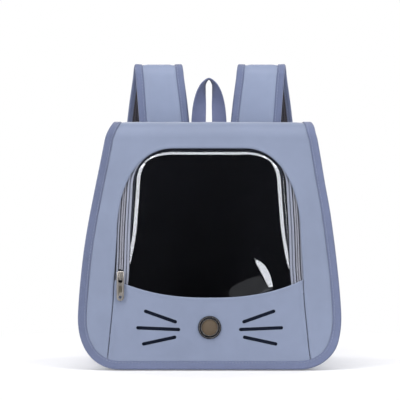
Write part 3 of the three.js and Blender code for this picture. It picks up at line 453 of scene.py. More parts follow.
def stitches(line, outs, size):
    """Rows of thread along a line on a cloth's face: points and faces of small rounded bars."""
    pitch, length, width = size
    at = lengths(line)
    centres = np.arange(pitch / 2, at[-1], pitch)
    place = between(at, line, centres)
    along = unit(between(at, np.gradient(line, axis=0), centres))
    out = unit(between(at, outs, centres))
    side = unit(np.cross(out, along))
    ring = np.linspace(0, 2 * math.pi, STITCH_SIDES + 1)[:-1]
    points = []
    for reach, lift, radius in STITCH_RINGS:
        for angle in ring:
            offset = reach * length * along + (lift + radius * math.sin(angle)) * width * out
            points.append(place + offset + radius * width * math.cos(angle) * side)
    points = np.stack(points, 1)
    quads, _ = grid_faces(len(STITCH_RINGS), STITCH_SIDES, True)
    every = list(range(STITCH_POINTS))
    template = [list(q) for q in quads] + [every[:STITCH_SIDES][::-1], every[-STITCH_SIDES:]]
    if len(points) and not facing(points[0], quads[:1], points[0].mean(0)):
        template = [f[::-1] for f in template]
    faces = [[i * STITCH_POINTS + v for v in f] for i in range(len(points)) for f in template]
    return points.reshape(-1, 3), faces


def stitched(name, rows, size, slot):
    """One piece of thread from several rows of (line, outs)."""
    points, faces, count = [], [], 0
    for line, outs in rows:
        p, f = stitches(np.asarray(line), np.asarray(outs), size)
        points.append(p)
        faces += [[v + count for v in g] for g in f]
        count += len(p)
    piece = new_piece(name, np.concatenate(points), faces)
    return dress(piece, slot, finish="thread")


def dress(piece, slot, *nodes, finish=None, body=CABIN):
    """Gives a piece its finish, named by its slot unless another finish is named, and its body, and hides the
    frame's nodes that it stands for.
    """
    piece.data.materials.clear()
    piece.data.materials.append(finish_named(finish or slot))
    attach(piece, body)
    if nodes:
        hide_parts(*nodes)
    return piece


# Sizes and colours to change


def length_prop(name, description, default):
    return bpy.props.FloatProperty(
        name=name, description=description, default=default, min=0.0, unit="LENGTH", precision=5
    )


def colour_prop(name, description, default):
    return bpy.props.FloatVectorProperty(
        name=name, description=description, default=default, size=3, min=0.0, max=1.0, subtype="COLOR"
    )


def power_prop(name, description, default):
    return bpy.props.FloatProperty(name=name, description=description, default=default, subtype="POWER")


class CarrierSizes(bpy.types.PropertyGroup):
    """Sizes of the cloth and its sewing"""

    weave: length_prop("Weave", "Pitch of the coated cloth's threads", 0.0007)
    rib: length_prop("Rib", "Pitch of the ribs across the binding", 0.0011)
    webbing_rib: length_prop("Webbing rib", "Pitch of the ribs across the webbing", 0.0016)
    stitch_pitch: length_prop("Stitch pitch", "From one stitch to the next", 0.0042)
    stitch_length: length_prop("Stitch length", "Length of one stitch", 0.0034)
    thread: length_prop("Thread", "Thickness of the sewing thread", 0.0007)
    hem_roll: length_prop("Hem roll", "Radius of the rolled edge round the opening", 0.0013)
    tooth_pitch: length_prop("Tooth pitch", "From one tooth of the zip to the next", 0.0016)
    pad_rise: length_prop("Pad rise", "Most that the back pad swells", 0.0055)


class CarrierColours(bpy.types.PropertyGroup):
    """Colours of the cloth and the fittings"""

    cloth: colour_prop("Cloth", "Coated cloth of the cabin and the straps", (0.154, 0.183, 0.264))
    ribbon: colour_prop("Ribbon", "Binding over the seams", (0.109, 0.130, 0.218))
    webbing: colour_prop("Webbing", "Handle and lower webbing", (0.105, 0.121, 0.212))
    tape: colour_prop("Zip tape", "Woven tape of the zip", (0.215, 0.232, 0.295))
    coil: colour_prop("Zip coil", "Teeth of the zip", (0.255, 0.262, 0.312))
    lining: colour_prop("Lining", "Cloth inside the cabin", (0.017, 0.018, 0.025))
    spacer: colour_prop("Spacer mesh", "Mesh under the shoulder straps", (0.040, 0.037, 0.048))
    nickel: colour_prop("Nickel", "Zip slider and its pull", (0.30, 0.28, 0.265))
    gunmetal: colour_prop("Gunmetal", "Ring of the vent", (0.030, 0.031, 0.037))
    bronze: colour_prop("Bronze", "Fine mesh in the vent", (0.080, 0.056, 0.033))
    plastic: colour_prop("Plastic", "Strap adjusters", (0.10, 0.118, 0.22))


class CarrierLight(bpy.types.PropertyGroup):
    """Studio light"""

    key: power_prop("Corners", "Two soft lights high in front", 7.0)
    side: power_prop("Sides", "Two tall soft lights", 27.0)
    top: power_prop("Top", "Soft light above", 23.0)
    rear: power_prop("Rear", "Three soft lights round the back", 20.0)
    fill: bpy.props.FloatProperty(name="Fill", description="Even light from all round", default=0.2, min=0.0)


# Finishes

VALUE, PLACE = "NodeSocketFloat", "NodeSocketVector"


def put(tree, kind, inputs=None, **settings):
    """Adds a node; inputs holds values and sockets to link from, by name or number."""
    made = tree.nodes.new(kind)
    for key, value in settings.items():
        setattr(made, key, value)
    for key, value in (inputs or {}).items():
        socket = made.inputs[key]
        if isinstance(value, bpy.types.NodeSocket):
            tree.links.new(value, socket)
        else:
            socket.default_value = value
    return made


def math_node(tree, kind, a, b=0.0):
    return put(tree, "ShaderNodeMath", {0: a, 1: b}, operation=kind).outputs[0]


def blend(tree, a, share_a, b, share_b):
    """The sum of two values, each by its share."""
    first, second = math_node(tree, "MULTIPLY", a, share_a), math_node(tree, "MULTIPLY", b, share_b)
    return math_node(tree, "ADD", first, second)


def wave(tree, value, turn):
    return math_node(tree, "SINE", math_node(tree, "MULTIPLY", value, turn))


def tint(tree, factor, dark, light):
    """A colour between two colours by a factor."""
    return put(tree, "ShaderNodeMix", {0: factor, 6: dark, 7: light}, data_type="RGBA").outputs[2]


def ranged(tree, value, low, high, to_low=0.0, to_high=1.0):
    return put(tree, "ShaderNodeMapRange", {0: value, 1: low, 2: high, 3: to_low, 4: to_high}).outputs[0]


def noise(tree, place, scale, detail):
    return put(tree, "ShaderNodeTexNoise", {"Vector": place, "Scale": scale, "Detail": detail}).outputs[0]


def group(name, inputs, *outputs):
    """An empty shader group with named inputs (kind, default), and outputs that are values."""
    tree = bpy.data.node_groups.new(name, "ShaderNodeTree")
    for key, (kind, default) in inputs.items():
        socket = tree.interface.new_socket(key, in_out="INPUT", socket_type=kind)
        if default is not None:
            socket.default_value = default
    for key in outputs:
        tree.interface.new_socket(key, in_out="OUTPUT", socket_type=VALUE)
    return tree, tree.nodes.new("NodeGroupInput").outputs, tree.nodes.new("NodeGroupOutput").inputs


def shared(make):
    """Makes a group of nodes once, under its maker's name."""
    return lambda: bpy.data.node_groups.get(make.__name__) or make(make.__name__)


@shared
def plain_weave(name):
    """Plain weave on the flat cloth: thread height and a light and dark shade."""
    tree, given, out = group(name, {"Cut": (PLACE, None), "Pitch": (VALUE, 0.007)}, "Height", "Shade")
    split = put(tree, "ShaderNodeSeparateXYZ", {0: given["Cut"]}).outputs
    turn = math_node(tree, "DIVIDE", math.pi, given["Pitch"])
    over = math_node(tree, "MULTIPLY", wave(tree, split[0], turn), wave(tree, split[1], turn))
    slub = noise(tree, given["Cut"], 90.0, 2.0)
    height = math_node(tree, "ADD", over, math_node(tree, "MULTIPLY", slub, 0.5))
    tree.links.new(height, out["Height"])
    tree.links.new(ranged(tree, height, -1.0, 1.5), out["Shade"])
    return tree


@shared
def cross_ribs(name):
    """Ribs across a ribbon or webbing, with fine threads along it."""
    tree, given, out = group(name, {"Cut": (PLACE, None), "Pitch": (VALUE, 0.011)}, "Height", "Shade")
    split = put(tree, "ShaderNodeSeparateXYZ", {0: given["Cut"]}).outputs
    turn = math_node(tree, "DIVIDE", math.pi, given["Pitch"])
    rib = math_node(tree, "ABSOLUTE", wave(tree, split[1], turn))
    fine = wave(tree, split[0], math_node(tree, "MULTIPLY", turn, 3.0))
    height = math_node(tree, "ADD", rib, math_node(tree, "MULTIPLY", fine, 0.12))
    tree.links.new(height, out["Height"])
    tree.links.new(ranged(tree, height, 0.0, 1.0), out["Shade"])
    return tree


@shared
def uneven_tone(name):
    """Slow and fine unevenness of a surface: a tone and a gloss about one half, and fine grain."""
    tree, given, out = group(name, {"Place": (PLACE, None), "Size": (VALUE, 12.0)}, "Tone", "Gloss", "Grain")
    place, size = given["Place"], given["Size"]
    slow = noise(tree, place, size, 3.0)
    fine = noise(tree, place, math_node(tree, "MULTIPLY", size, 9.0), 4.0)
    tree.links.new(blend(tree, slow, 0.65, fine, 0.35), out["Tone"])
    tree.links.new(fine, out["Gloss"])
    tree.links.new(noise(tree, place, math_node(tree, "MULTIPLY", size, 60.0), 2.0), out["Grain"])
    return tree


@shared
def open_mesh(name):
    """Open mesh: small round holes in rows, as a mask and a height."""
    tree, given, out = group(name, {"Cut": (PLACE, None), "Pitch": (VALUE, 0.03)}, "Height", "Thread")
    scale = math_node(tree, "DIVIDE", 1.0, given["Pitch"])
    holes = {"Vector": given["Cut"], "Scale": scale, "Randomness": 0.12}
    cells = put(tree, "ShaderNodeTexVoronoi", holes, voronoi_dimensions="2D")
    thread = ranged(tree, cells.outputs["Distance"], 0.24, 0.44)
    tree.links.new(thread, out["Thread"])
    tree.links.new(thread, out["Height"])
    return tree


def placed(tree, made_group, **inputs):
    return put(tree, "ShaderNodeGroup", inputs, node_tree=made_group).outputs


def place_on(tree):
    return put(tree, "ShaderNodeTexCoord").outputs["Object"]


def cut_on(tree):
    """The place on the flat cloth."""
    return put(tree, "ShaderNodeUVMap", uv_map="cut").outputs[0]


def shader_of(tree):
    return next(n for n in tree.nodes if n.type == "BSDF_PRINCIPLED")


def blank_finish(name):
    """An empty material, its tree and its shader."""
    made = bpy.data.materials.new(name)
    made.use_nodes = True
    return made, made.node_tree, shader_of(made.node_tree)


def toned_finish(name, size):
    """An empty material, its tree, its shader and the unevenness of its surface."""
    made, tree, shader = blank_finish(name)
    return made, tree, shader, placed(tree, uneven_tone(), Place=place_on(tree), Size=size)


def shaded(colour, factor):
    """A colour made lighter or darker."""
    return (*[min(1.0, c * factor) for c in colour], 1.0)


def coat(tree, shader, factor, colour, shades, gloss, rough):
    """Base colour between two shades of a colour by a factor, and roughness in a range by the gloss."""
    dark, light = shades
    base = tint(tree, factor, shaded(colour, dark), shaded(colour, light))
    tree.links.new(base, shader.inputs["Base Color"])
    tree.links.new(ranged(tree, gloss, 0.3, 0.7, *rough), shader.inputs["Roughness"])


def two_shaders(tree, factor, first, second):
    """Sends a mix of two shaders to the material's output."""
    both = put(tree, "ShaderNodeMixShader", {0: factor, 1: first.outputs[0], 2: second.outputs[0]})
    out = next(n for n in tree.nodes if n.type == "OUTPUT_MATERIAL")
    tree.links.new(both.outputs[0], out.inputs["Surface"])


def bumps(tree, shader, *layers):
    """A chain of bumps from (height, distance in metres, strength) into the shader's normal."""
    normal = None
    for height, distance, strength in layers:
        inputs = {"Height": height, "Distance": distance, "Strength": strength}
        if normal is not None:
            inputs["Normal"] = normal
        normal = put(tree, "ShaderNodeBump", inputs).outputs[0]
    tree.links.new(normal, shader.inputs["Normal"])


def values(shader, **sockets):
    for key, value in sockets.items():
        shader.inputs[key.replace("_", " ")].default_value = value


def colours():
    return bpy.context.scene.carrier_colours


def sizes():
    return bpy.context.scene.carrier_sizes


def woven(name, colour, pitch, spread=0.10, rough=(0.52, 0.68), sheen=0.12, size=9.0, shine=0.36):
    """Coated plain-weave cloth: thread relief, slow colour drift, uneven gloss and a soft sheen."""
    made, tree, shader, tone = toned_finish(name, size)
    thread = placed(tree, plain_weave(), Cut=cut_on(tree), Pitch=pitch * CUT_SCALE)
    shade = blend(tree, thread["Shade"], 0.22, tone["Tone"], 0.78)
    factor = ranged(tree, shade, 0.28, 0.72)
    coat(tree, shader, factor, colour, (1 - spread, 1 + spread), tone["Gloss"], rough)
    relief, grain = (thread["Height"], 0.00005, 0.6), (tone["Grain"], 0.00006, 0.35)
    bumps(tree, shader, (tone["Tone"], 0.0016, 0.35), relief, grain)
    values(shader, Sheen_Weight=sheen, Sheen_Roughness=0.45, Specular_IOR_Level=shine)
    return made


def ribbed(name, colour, pitch, depth=0.00022, spread=0.16):
    """Ribbed ribbon or webbing: ribs across it, darker between them, with a slow drift of tone."""
    made, tree, shader, tone = toned_finish(name, 14.0)
    rib = placed(tree, cross_ribs(), Cut=cut_on(tree), Pitch=pitch * CUT_SCALE)
    factor = ranged(tree, blend(tree, rib["Shade"], 0.45, tone["Tone"], 0.55), 0.2, 0.8)
    coat(tree, shader, factor, colour, (1 - spread, 1 + spread), tone["Gloss"], (0.62, 0.8))
    bumps(tree, shader, (rib["Height"], depth, 0.8), (tone["Grain"], 0.00008, 0.4))
    values(shader, Sheen_Weight=0.18, Sheen_Roughness=0.4, Specular_IOR_Level=0.3)
    return made


def metal(name, colour, rough, spread=0.14, size=60.0, metallic=1.0):
    """Plated metal or moulded plastic: a drift of tone, fine scuffs in its gloss and a faint grain."""
    made, tree, shader, tone = toned_finish(name, size)
    factor = ranged(tree, tone["Tone"], 0.3, 0.7)
    coat(tree, shader, factor, colour, (1 - spread, 1 + spread), tone["Gloss"], rough)
    bumps(tree, shader, (tone["Gloss"], 0.00012, 0.25), (tone["Grain"], 0.00002, 0.3))
    values(shader, Metallic=metallic)
    return made


def seam_ribbon(name):
    return ribbed(name, colours().ribbon, sizes().rib, depth=0.0003, spread=0.22)


def strap_ribbon(name):
    """Ribbon with painted shade: its colour is darkened where it is turned under the strap, where the strap
    shades it.
    """
    made = seam_ribbon(name)
    tree = made.node_tree
    socket = shader_of(tree).inputs["Base Color"]
    # Painted shade: beyond the fold the ribbon's colour falls to a quarter, for the shade under the strap
    across = put(tree, "ShaderNodeSeparateXYZ", {0: cut_on(tree)}).outputs[0]
    under = ranged(tree, across, 0.115, 0.14, 0.0, 1.0)
    tree.links.new(tint(tree, under, socket.links[0].from_socket, shaded(colours().ribbon, 0.24)), socket)
    return made


def sewing_thread(name):
    """Twisted thread, of the cloth's colour."""
    made, tree, shader, tone = toned_finish(name, 45.0)
    factor = ranged(tree, tone["Grain"], 0.3, 0.7)
    coat(tree, shader, factor, colours().cloth, (0.82, 1.12), tone["Gloss"], (0.45, 0.62))
    bumps(tree, shader, (tone["Grain"], 0.0001, 0.5))
    values(shader, Sheen_Weight=0.15)
    return made


def spacer_mesh(name):
    """Open spacer mesh: round holes between dark threads."""
    made, tree, shader, tone = toned_finish(name, 20.0)
    holes = placed(tree, open_mesh(), Cut=cut_on(tree), Pitch=0.034)
    factor = math_node(tree, "MULTIPLY", holes["Thread"], ranged(tree, tone["Tone"], 0.2, 0.8, 0.6, 1.0))
    coat(tree, shader, factor, colours().spacer, (0.25, 1.35), tone["Gloss"], (0.75, 0.92))
    bumps(tree, shader, (holes["Height"], 0.0008, 0.9), (tone["Grain"], 0.0001, 0.4))
    values(shader, Sheen_Weight=0.1, Specular_IOR_Level=0.25)
    return made


def nylon_coil(name):
    """Moulded nylon teeth."""
    made, tree, shader, tone = toned_finish(name, 40.0)
    factor = ranged(tree, tone["Tone"], 0.3, 0.7)
    coat(tree, shader, factor, colours().coil, (0.88, 1.12), tone["Gloss"], (0.32, 0.5))
    bumps(tree, shader, (tone["Grain"], 0.00004, 0.4))
    return made


def bronze_mesh(name):
    """Fine woven wire: crossing wires with dark gaps."""
    made, tree, shader, tone = toned_finish(name, 80.0)
    wire = placed(tree, plain_weave(), Cut=cut_on(tree), Pitch=0.0085)
    crossing, drift = ranged(tree, wire["Shade"], 0.1, 0.75), ranged(tree, tone["Tone"], 0.3, 0.7, 0.75, 1.0)
    factor = math_node(tree, "MULTIPLY", crossing, drift)
    coat(tree, shader, factor, colours().bronze, (0.45, 1.45), tone["Gloss"], (0.38, 0.55))
    bumps(tree, shader, (wire["Height"], 0.00025, 0.8))
    values(shader, Metallic=0.35)
    return made


def clear_sheet(name):
    """Clear soft sheet: glassy, with a faint ripple; light falls through it without a dark shadow."""
    made, tree, shader = blank_finish(name)
    place = place_on(tree)
    smear = noise(tree, place, 45.0, 3.0)
    tree.links.new(tint(tree, smear, (0.97, 0.97, 0.98, 1), (1.0, 1.0, 1.0, 1)), shader.inputs["Base Color"])
    tree.links.new(ranged(tree, smear, 0.3, 0.7, 0.015, 0.05), shader.inputs["Roughness"])
    bumps(tree, shader, (noise(tree, place, 16.0, 1.0), 0.0022, 0.12))
    values(shader, Transmission_Weight=1.0, IOR=1.67, Specular_Tint=(0.9, 0.93, 1.0, 1.0))
    path = put(tree, "ShaderNodeLightPath").outputs
    through = math_node(tree, "MAXIMUM", path["Is Shadow Ray"], path["Is Diffuse Ray"])
    two_shaders(tree, through, shader, put(tree, "ShaderNodeBsdfTransparent", {0: (0.96, 0.97, 0.98, 1)}))
    return made


# Makers of the finishes by their keys
FINISHES = {
    "fabric": lambda name: woven(name, colours().cloth, sizes().weave),
    # Painted light: a lighter copy of the cabin cloth for the straps, which face up into more light
    "strap_cloth": lambda name: woven(name, [1.14 * c for c in colours().cloth], sizes().weave),
    "dark_lining": lambda name: woven(
        name, colours().lining, 0.0006, spread=0.3, rough=(0.7, 0.85), sheen=0.02, size=7.0, shine=0.12
    ),
    "slot_cloth": lambda name: woven(
        name, (0.009, 0.013, 0.026), 0.0006, spread=0.2, rough=(0.75, 0.9), sheen=0.0, shine=0.08
    ),
    "edge_cloth": lambda name: ribbed(name, colours().tape, 0.0009, depth=0.0001, spread=0.08),
    # Painted shade: the zip tape is darkened far below the tape colour, so the valleys between the rolls read
    # as shadow lines
    "zip_tape": lambda name: ribbed(
        name, [0.16 * c for c in colours().tape], 0.0008, depth=0.00012, spread=0.1
    ),
    "ribbon": seam_ribbon,
    "strap_ribbon": strap_ribbon,
    "webbing": lambda name: ribbed(name, colours().webbing, sizes().webbing_rib, depth=0.0003),
    "thread": sewing_thread,
    "dark_mesh": spacer_mesh,
    "zip_coil": nylon_coil,
    "nickel": lambda name: metal(name, colours().nickel, (0.34, 0.5), metallic=0.82),
    "pressed_nickel": lambda name: metal(name, (0.24, 0.22, 0.18), (0.42, 0.55)),
    "gunmetal": lambda name: metal(name, colours().gunmetal, (0.22, 0.38), size=40.0),
    "blue_plastic": lambda name: metal(
        name, colours().plastic, (0.34, 0.5), spread=0.08, size=50.0, metallic=0.0
    ),
    "bronze_mesh": bronze_mesh,
    "clear_sheet": clear_sheet,
}


def finish_named(key):
    """A finish by its key, made when it is first asked for."""
    name = f"{key}_finish"
    return bpy.data.materials.get(name) or FINISHES[key](name)


# Cabin cloth

HEM_STEPS = np.array([0, 0.5, 1.3, 2.4, 3.6, 4.8, 6.2, 8.2, 11.0])


def hem_height(d):
    """Height of a turned hem over the cloth at a distance from its edge."""
    return 0.35 * np.exp(-(((d - 2.0) / 2.2) ** 2))


def door_rays(leg_steps=64, shoulder_steps=64, top_steps=16):
    """Right half of the door's arch from its tip up, the cabin's edge beyond, and where the top begins."""
    # The tip is where the arch meets the cabin's edge
    low, high = 3.0, 60.0
    for _ in range(50):
        middle = (low + high) / 2
        low, high = (middle, high) if half_width(middle) < arch_half(DOOR_ARCH, middle) else (low, middle)
    legs, (top_half, top_z), _ = DOOR_ARCH
    shoulder_z = legs[-1][1]
    z = np.linspace(high, shoulder_z, leg_steps + 1)
    inner, outer = [stack(arch_half(DOOR_ARCH, z), z)], [stack(half_width(z), z)]
    angle = np.linspace(0, math.pi / 2, shoulder_steps + 1)[1:]
    inner.append(shoulder_at(DOOR_ARCH, angle))
    last_side = int(shoulder_steps * 0.62) - 1
    turn = angle[last_side]
    up = np.clip(angle / turn, 0, 1)
    over = np.clip((angle - turn) / (math.pi / 2 - turn), 0, 1)
    z = mix(shoulder_z, FRONT_TANGENT, up)
    outer.append(stack(np.where(over > 0, mix(half_width(FRONT_TANGENT), top_half, over), half_width(z)), z))
    x = np.linspace(top_half, 0, top_steps + 1)[1:]
    inner.append(stack(x, np.full_like(x, top_z)))
    outer.append(stack(x, np.full_like(x, FRONT_TANGENT)))
    return np.concatenate(inner), np.concatenate(outer), leg_steps + 1 + last_side


def over_top(share):
    """Points of the sheet over the top at shares of its half width, and their places on the flat cloth."""
    places, outs = top_path(12, 26)
    half = half_width(places[:, 2:])
    top = stack(share[None] * half, places[:, 1:2], places[:, 2:])
    edge = smooth((1 - np.abs(share))[None] * half, 2, 16)
    steps = np.arange(len(top))[:, None]
    held = edge * smooth(steps, 0, 6) * smooth(steps[::-1], 0, 5)
    sag = 0.9 * uneven(top, 170, 5) + 0.35 * uneven(top, 40, 6)
    dip = np.sin(np.pi * steps / steps[-1]) * (1 - share[None] ** 2)
    top = top + ((sag - dip) * held)[..., None] * outs[:, None]
    return top, stack(top[..., 0], (FRONT_TANGENT + lengths(places))[:, None])


def build_front_panel(roll):
    """Front frame and top in one sheet, with a rolled hem round the opening."""
    inner, outer, first_top = door_rays()
    inner = np.concatenate([inner * [-1, 1], inner[-2::-1]])
    outer = np.concatenate([outer * [-1, 1], outer[-2::-1]])
    inner = inner + np.minimum(1, np.linalg.norm(outer - inner, axis=1) / 20)[:, None] * [DOOR_SHIFT, 0]
    ray = outer - inner
    reach = np.linalg.norm(ray, axis=1)
    sideways = np.sign(inner[:, :1]) * [1, 0]
    way = np.where(reach[:, None] > 0.5, ray / np.maximum(reach, 0.5)[:, None], sideways)
    scale = np.minimum(1, reach / 16)[:, None]
    near = HEM_STEPS[None] * scale
    far = near[:, -1:] + (reach[:, None] - near[:, -1:]) * np.linspace(0, 1, 16)[None, 1:]
    along = np.concatenate([far[:, ::-1], near[:, ::-1]], 1)
    rise = hem_height(along / np.maximum(scale, 0.05)) * np.minimum(1, scale)
    curl = np.radians([30, 60, 90, 120, 150, 180])
    back = np.concatenate([-roll * np.sin(curl), [2.0, 5.0]])[None] * np.minimum(1, scale * 1.5)
    sunk = np.concatenate([roll * (1 - np.cos(curl)), [2 * roll, 2 * roll]])
    along = np.concatenate([along, back], 1)
    depth = np.concatenate([-rise, np.broadcast_to(sunk, (len(inner), len(sunk)))], 1)
    flat = inner[:, None] + along[..., None] * way[:, None]
    grid = front_at(flat[..., 0], flat[..., 1], depth)
    from_edge = np.clip(reach[:, None] - along, 0, 99)
    soft = 0.55 * uneven(grid, 150, 3) + 0.3 * uneven(grid, 34, 4) * np.exp(-from_edge / 20)
    soft *= smooth(from_edge, 2, 14) * smooth(along, 3, 14)
    grid += soft[..., None] * FRONT_OUT
    grid = grid.transpose(1, 0, 2)
    cut = flat.transpose(1, 0, 2)
    quads, places = grid_faces(*grid.shape[:2])
    corners = cut[places[..., 0], places[..., 1]]
    tops = np.arange(first_top, len(inner) - first_top)
    top, top_cut = over_top(outer[tops, 0] / half_width(FRONT_TANGENT))
    offset = grid.shape[0] * grid.shape[1]
    index = offset + np.arange((len(top) - 1) * len(tops)).reshape(len(top) - 1, len(tops))
    index = np.concatenate([tops[None], index])
    points = np.concatenate([grid.reshape(-1, 3), top[1:].reshape(-1, 3)])
    quads, corners = turned(points, quads, corners)
    over, over_cut = turned(points, corners_of(index).reshape(-1, 4), corners_of(top_cut).reshape(-1, 4, 2))
    faces, cuts = np.concatenate([quads, over]), np.concatenate([corners, over_cut])
    return thicken(new_piece("front_sheet", points, faces, cuts), FRONT_SKIN)


WHISKERS = [((44.6, 63), (83, 76.4)), ((40.4, 53), (93, 55.1)), ((45.4, 43), (85.5, 34.3))]
SLOT_WIDTH = 4.6
SEAM_GAP = 1.95
VENT_Z = 55.3
VENT_OUTER, VENT_INNER, VENT_BARREL, VENT_CLEAR = 15.0, 11.3, 1.0, 0.5
# Distances of the lower panel's rows of points from its side edges and from its lip
LOWER_EDGE_STEPS = [0, 0.12, 0.4, 0.8, 1.4, 2.2, 3.2, 4.6, 6.2, 7.8]
LOWER_LIP_STEPS = [11, 8.4, 6.4, 4.8, 3.6, 2.4, 1.4, 0.8, 0.4, 0.12, 0]


def lower_grid(depth, inset, edge_steps, lip_steps, columns, rows, rounded):
    """Points of the lower panel; the edges are inset, and round off over a small radius where asked."""
    lip_steps, edge_steps = np.asarray(lip_steps, float), np.asarray(edge_steps, float)
    height = np.concatenate([np.linspace(0, 1, rows), [0] * len(lip_steps)])
    from_lip = np.concatenate([np.zeros(rows), lip_steps])
    share = np.linspace(-1, 1, columns)
    x_from = np.concatenate([edge_steps, np.zeros(columns), edge_steps[::-1]])
    sides = np.concatenate([-np.ones(len(edge_steps)), share, np.ones(len(edge_steps))])
    inner = edge_steps[-1] + 2 if len(edge_steps) else 0
    top_gap = lip_steps[0] + 2 if len(lip_steps) else 0
    edges = np.full(len(edge_steps), True)
    is_edge = np.concatenate([edges, np.full(columns, False), edges])[None]
    is_lip = (np.arange(len(height)) >= rows)[:, None]
    foot = SEAM_LIFT + inset
    z = np.full((len(height), len(sides)), 50.0)
    for _ in range(6):
        half = np.minimum(arch_half(DOOR_ARCH, z) - SEAM_GAP, half_width(z)) - inset
        x = np.where(is_edge, sides[None] * (half - x_from[None]), sides[None] * (half - inner))
        top = lip_at(x) - inset
        z = np.where(is_lip, top - from_lip[:, None], mix(foot, top - top_gap, height[:, None]))
    side_gap = np.abs(half - np.abs(x))
    lip_gap = top - z
    sink = np.zeros_like(x)
    if rounded:
        for gap in (side_gap, lip_gap):
            near = np.clip(1 - gap / rounded, 0, 1)
            sink += rounded * (1 - np.sqrt(np.clip(1 - near**2, 0, 1)))
        sink -= hem_height(lip_gap) + 0.6 * np.exp(-(((side_gap - 2.4) / 2.4) ** 2)) * smooth(z, 12, 30)
    return front_at(x + DOOR_SHIFT * smooth(np.abs(x), 98, 116), z, depth + sink), stack(x, z)


def build_lower_panel():
    """Lower panel with a hemmed lip, six whisker slots and the hole for the vent."""
    grid, cut = lower_grid(0, 0, LOWER_EDGE_STEPS, LOWER_LIP_STEPS, 100, 40, 1.2)
    x, z = grid[..., 0], grid[..., 2]
    soft = 0.5 * uneven(grid, 120, 11) * smooth(z, 8, 40) * smooth(lip_at(x) - z, 8, 24)
    soft *= smooth(120 - np.abs(x), 0, 30)
    from_vent = np.hypot(x, z - VENT_Z)
    grid = grid + (soft * smooth(from_vent, 18, 34))[..., None] * FRONT_OUT
    piece = thicken(grid_piece("lower_sheet", grid, cut=cut), PANEL)
    cutters = [slot_cutter(side * a[0], a[1], side * b[0], b[1]) for a, b in WHISKERS for side in (1, -1)]
    fresh()
    bpy.ops.mesh.primitive_cylinder_add(
        vertices=72, radius=(VENT_INNER + VENT_BARREL + VENT_CLEAR) * MM, depth=0.03,
        location=(0, -0.103, VENT_Z * MM), rotation=(math.pi / 2 - LEAN, 0, 0),
    )
    carve(piece, *cutters, bpy.context.object)
    alone(piece)
    bpy.ops.object.shade_smooth_by_angle(angle=math.radians(50))
    return piece


def slot_cutter(ax, az, bx, bz):
    """A round-ended bar through the lower panel between two places, to cut a slot with."""
    fresh()
    bpy.ops.mesh.primitive_cylinder_add(
        vertices=24, radius=SLOT_WIDTH / 2 * MM, depth=0.05, rotation=(math.pi / 2, math.pi / 24, 0)
    )
    cutter = set_in()
    turn = math.atan2(bz - az, bx - ax)
    reach = math.hypot(bx - ax, bz - az) * MM
    for vertex in cutter.data.vertices:
        if vertex.co.x > 1e-6:
            vertex.co.x += reach / 2
        elif vertex.co.x < -1e-6:
            vertex.co.x -= reach / 2
    cutter.data.transform(Matrix.Rotation(-turn, 4, "Y"))
    cutter.data.transform(Matrix.Translation(((ax + bx) / 2 * MM, -0.1, (az + bz) / 2 * MM)))
    return cutter


GUSSET_TOP = HEIGHT - PANEL - GAP


def inner_edge(tangent, centre, radius, face, sign, depth, z):
    """Where the gusset meets a panel's inner face at a height, round the folds at the top."""
    rise = np.minimum(z - centre[1], radius - depth)
    curved = centre[0] + sign * np.sqrt(np.maximum((radius - depth) ** 2 - rise**2, 0))
    return np.where(z < tangent, face(z) - sign * depth, curved)


def gusset_grid(depth, top, step, shares):
    """Points of the strip round the sides and the floor, some depth inside its outer face."""
    line = outline(top, step)
    out = square_to(line)
    down = np.maximum(0, -out[:, 1:])
    swell = mix(SIDE_SWELL, SEAM_ALLOWANCE + SEAM_LIFT, down**2)
    fade = np.clip((GUSSET_TOP - line[:, 1:]) / CORNER_RISE, 0, 1)
    ease = smooth(np.minimum(shares, 1 - shares), 0, SEAM_EASE)[None]
    inward = SEAM_ALLOWANCE - swell * ease * fade + depth
    flat = line[:, None] - inward[..., None] * out[:, None]
    flat, out, down = [np.concatenate([a[:1], a, a[-1:]]) for a in (flat, out, down)]
    flat[[0, -1], :, 1] = top
    z = flat[..., 1]
    front = inner_edge(FRONT_TANGENT, FRONT_CENTRE, FRONT_FOLD, front_y, -1, PANEL + GAP + depth / 2, z)
    back = inner_edge(BACK_TANGENT, BACK_CENTRE, BACK_FOLD, back_y, 1, BACK_PAD + GAP + depth / 2, z)
    grid = stack(flat[..., 0], mix(front, back, shares[None]), z)
    push = stack(out[:, 0], np.zeros(len(out)), out[:, 1])
    rest = 1 - np.clip(down * 1.6, 0, 1) ** 2
    return grid, push[:, None], rest


def build_gusset():
    """Sides and floor in one strip that swells between its seams, with soft pulls along them."""
    near, middle, far = np.linspace(0, 0.2, 12), np.linspace(0.2, 0.8, 24), np.linspace(0.8, 1, 12)
    shares = np.concatenate([near[:-1], middle, far[1:]])
    grid, push, rest = gusset_grid(0, GUSSET_TOP + 0.7, 4.0, shares)
    edge = np.minimum(shares, 1 - shares)[None]
    pulls = 0.55 * uneven(grid * [1, 0.25, 1], 30, 21) * np.exp(-((edge - 0.1) / 0.1) ** 2)
    sag = (1.1 * uneven(grid, 190, 22) + 0.45 * uneven(grid, 70, 23)) * smooth(edge, 0.02, 0.25)
    sag = sag - 0.6 * smooth(edge, 0.1, 0.4)
    grid = grid + ((pulls + sag) * rest)[..., None] * push
    return thicken(grid_piece("side_strip", grid), SIDE_SKIN)


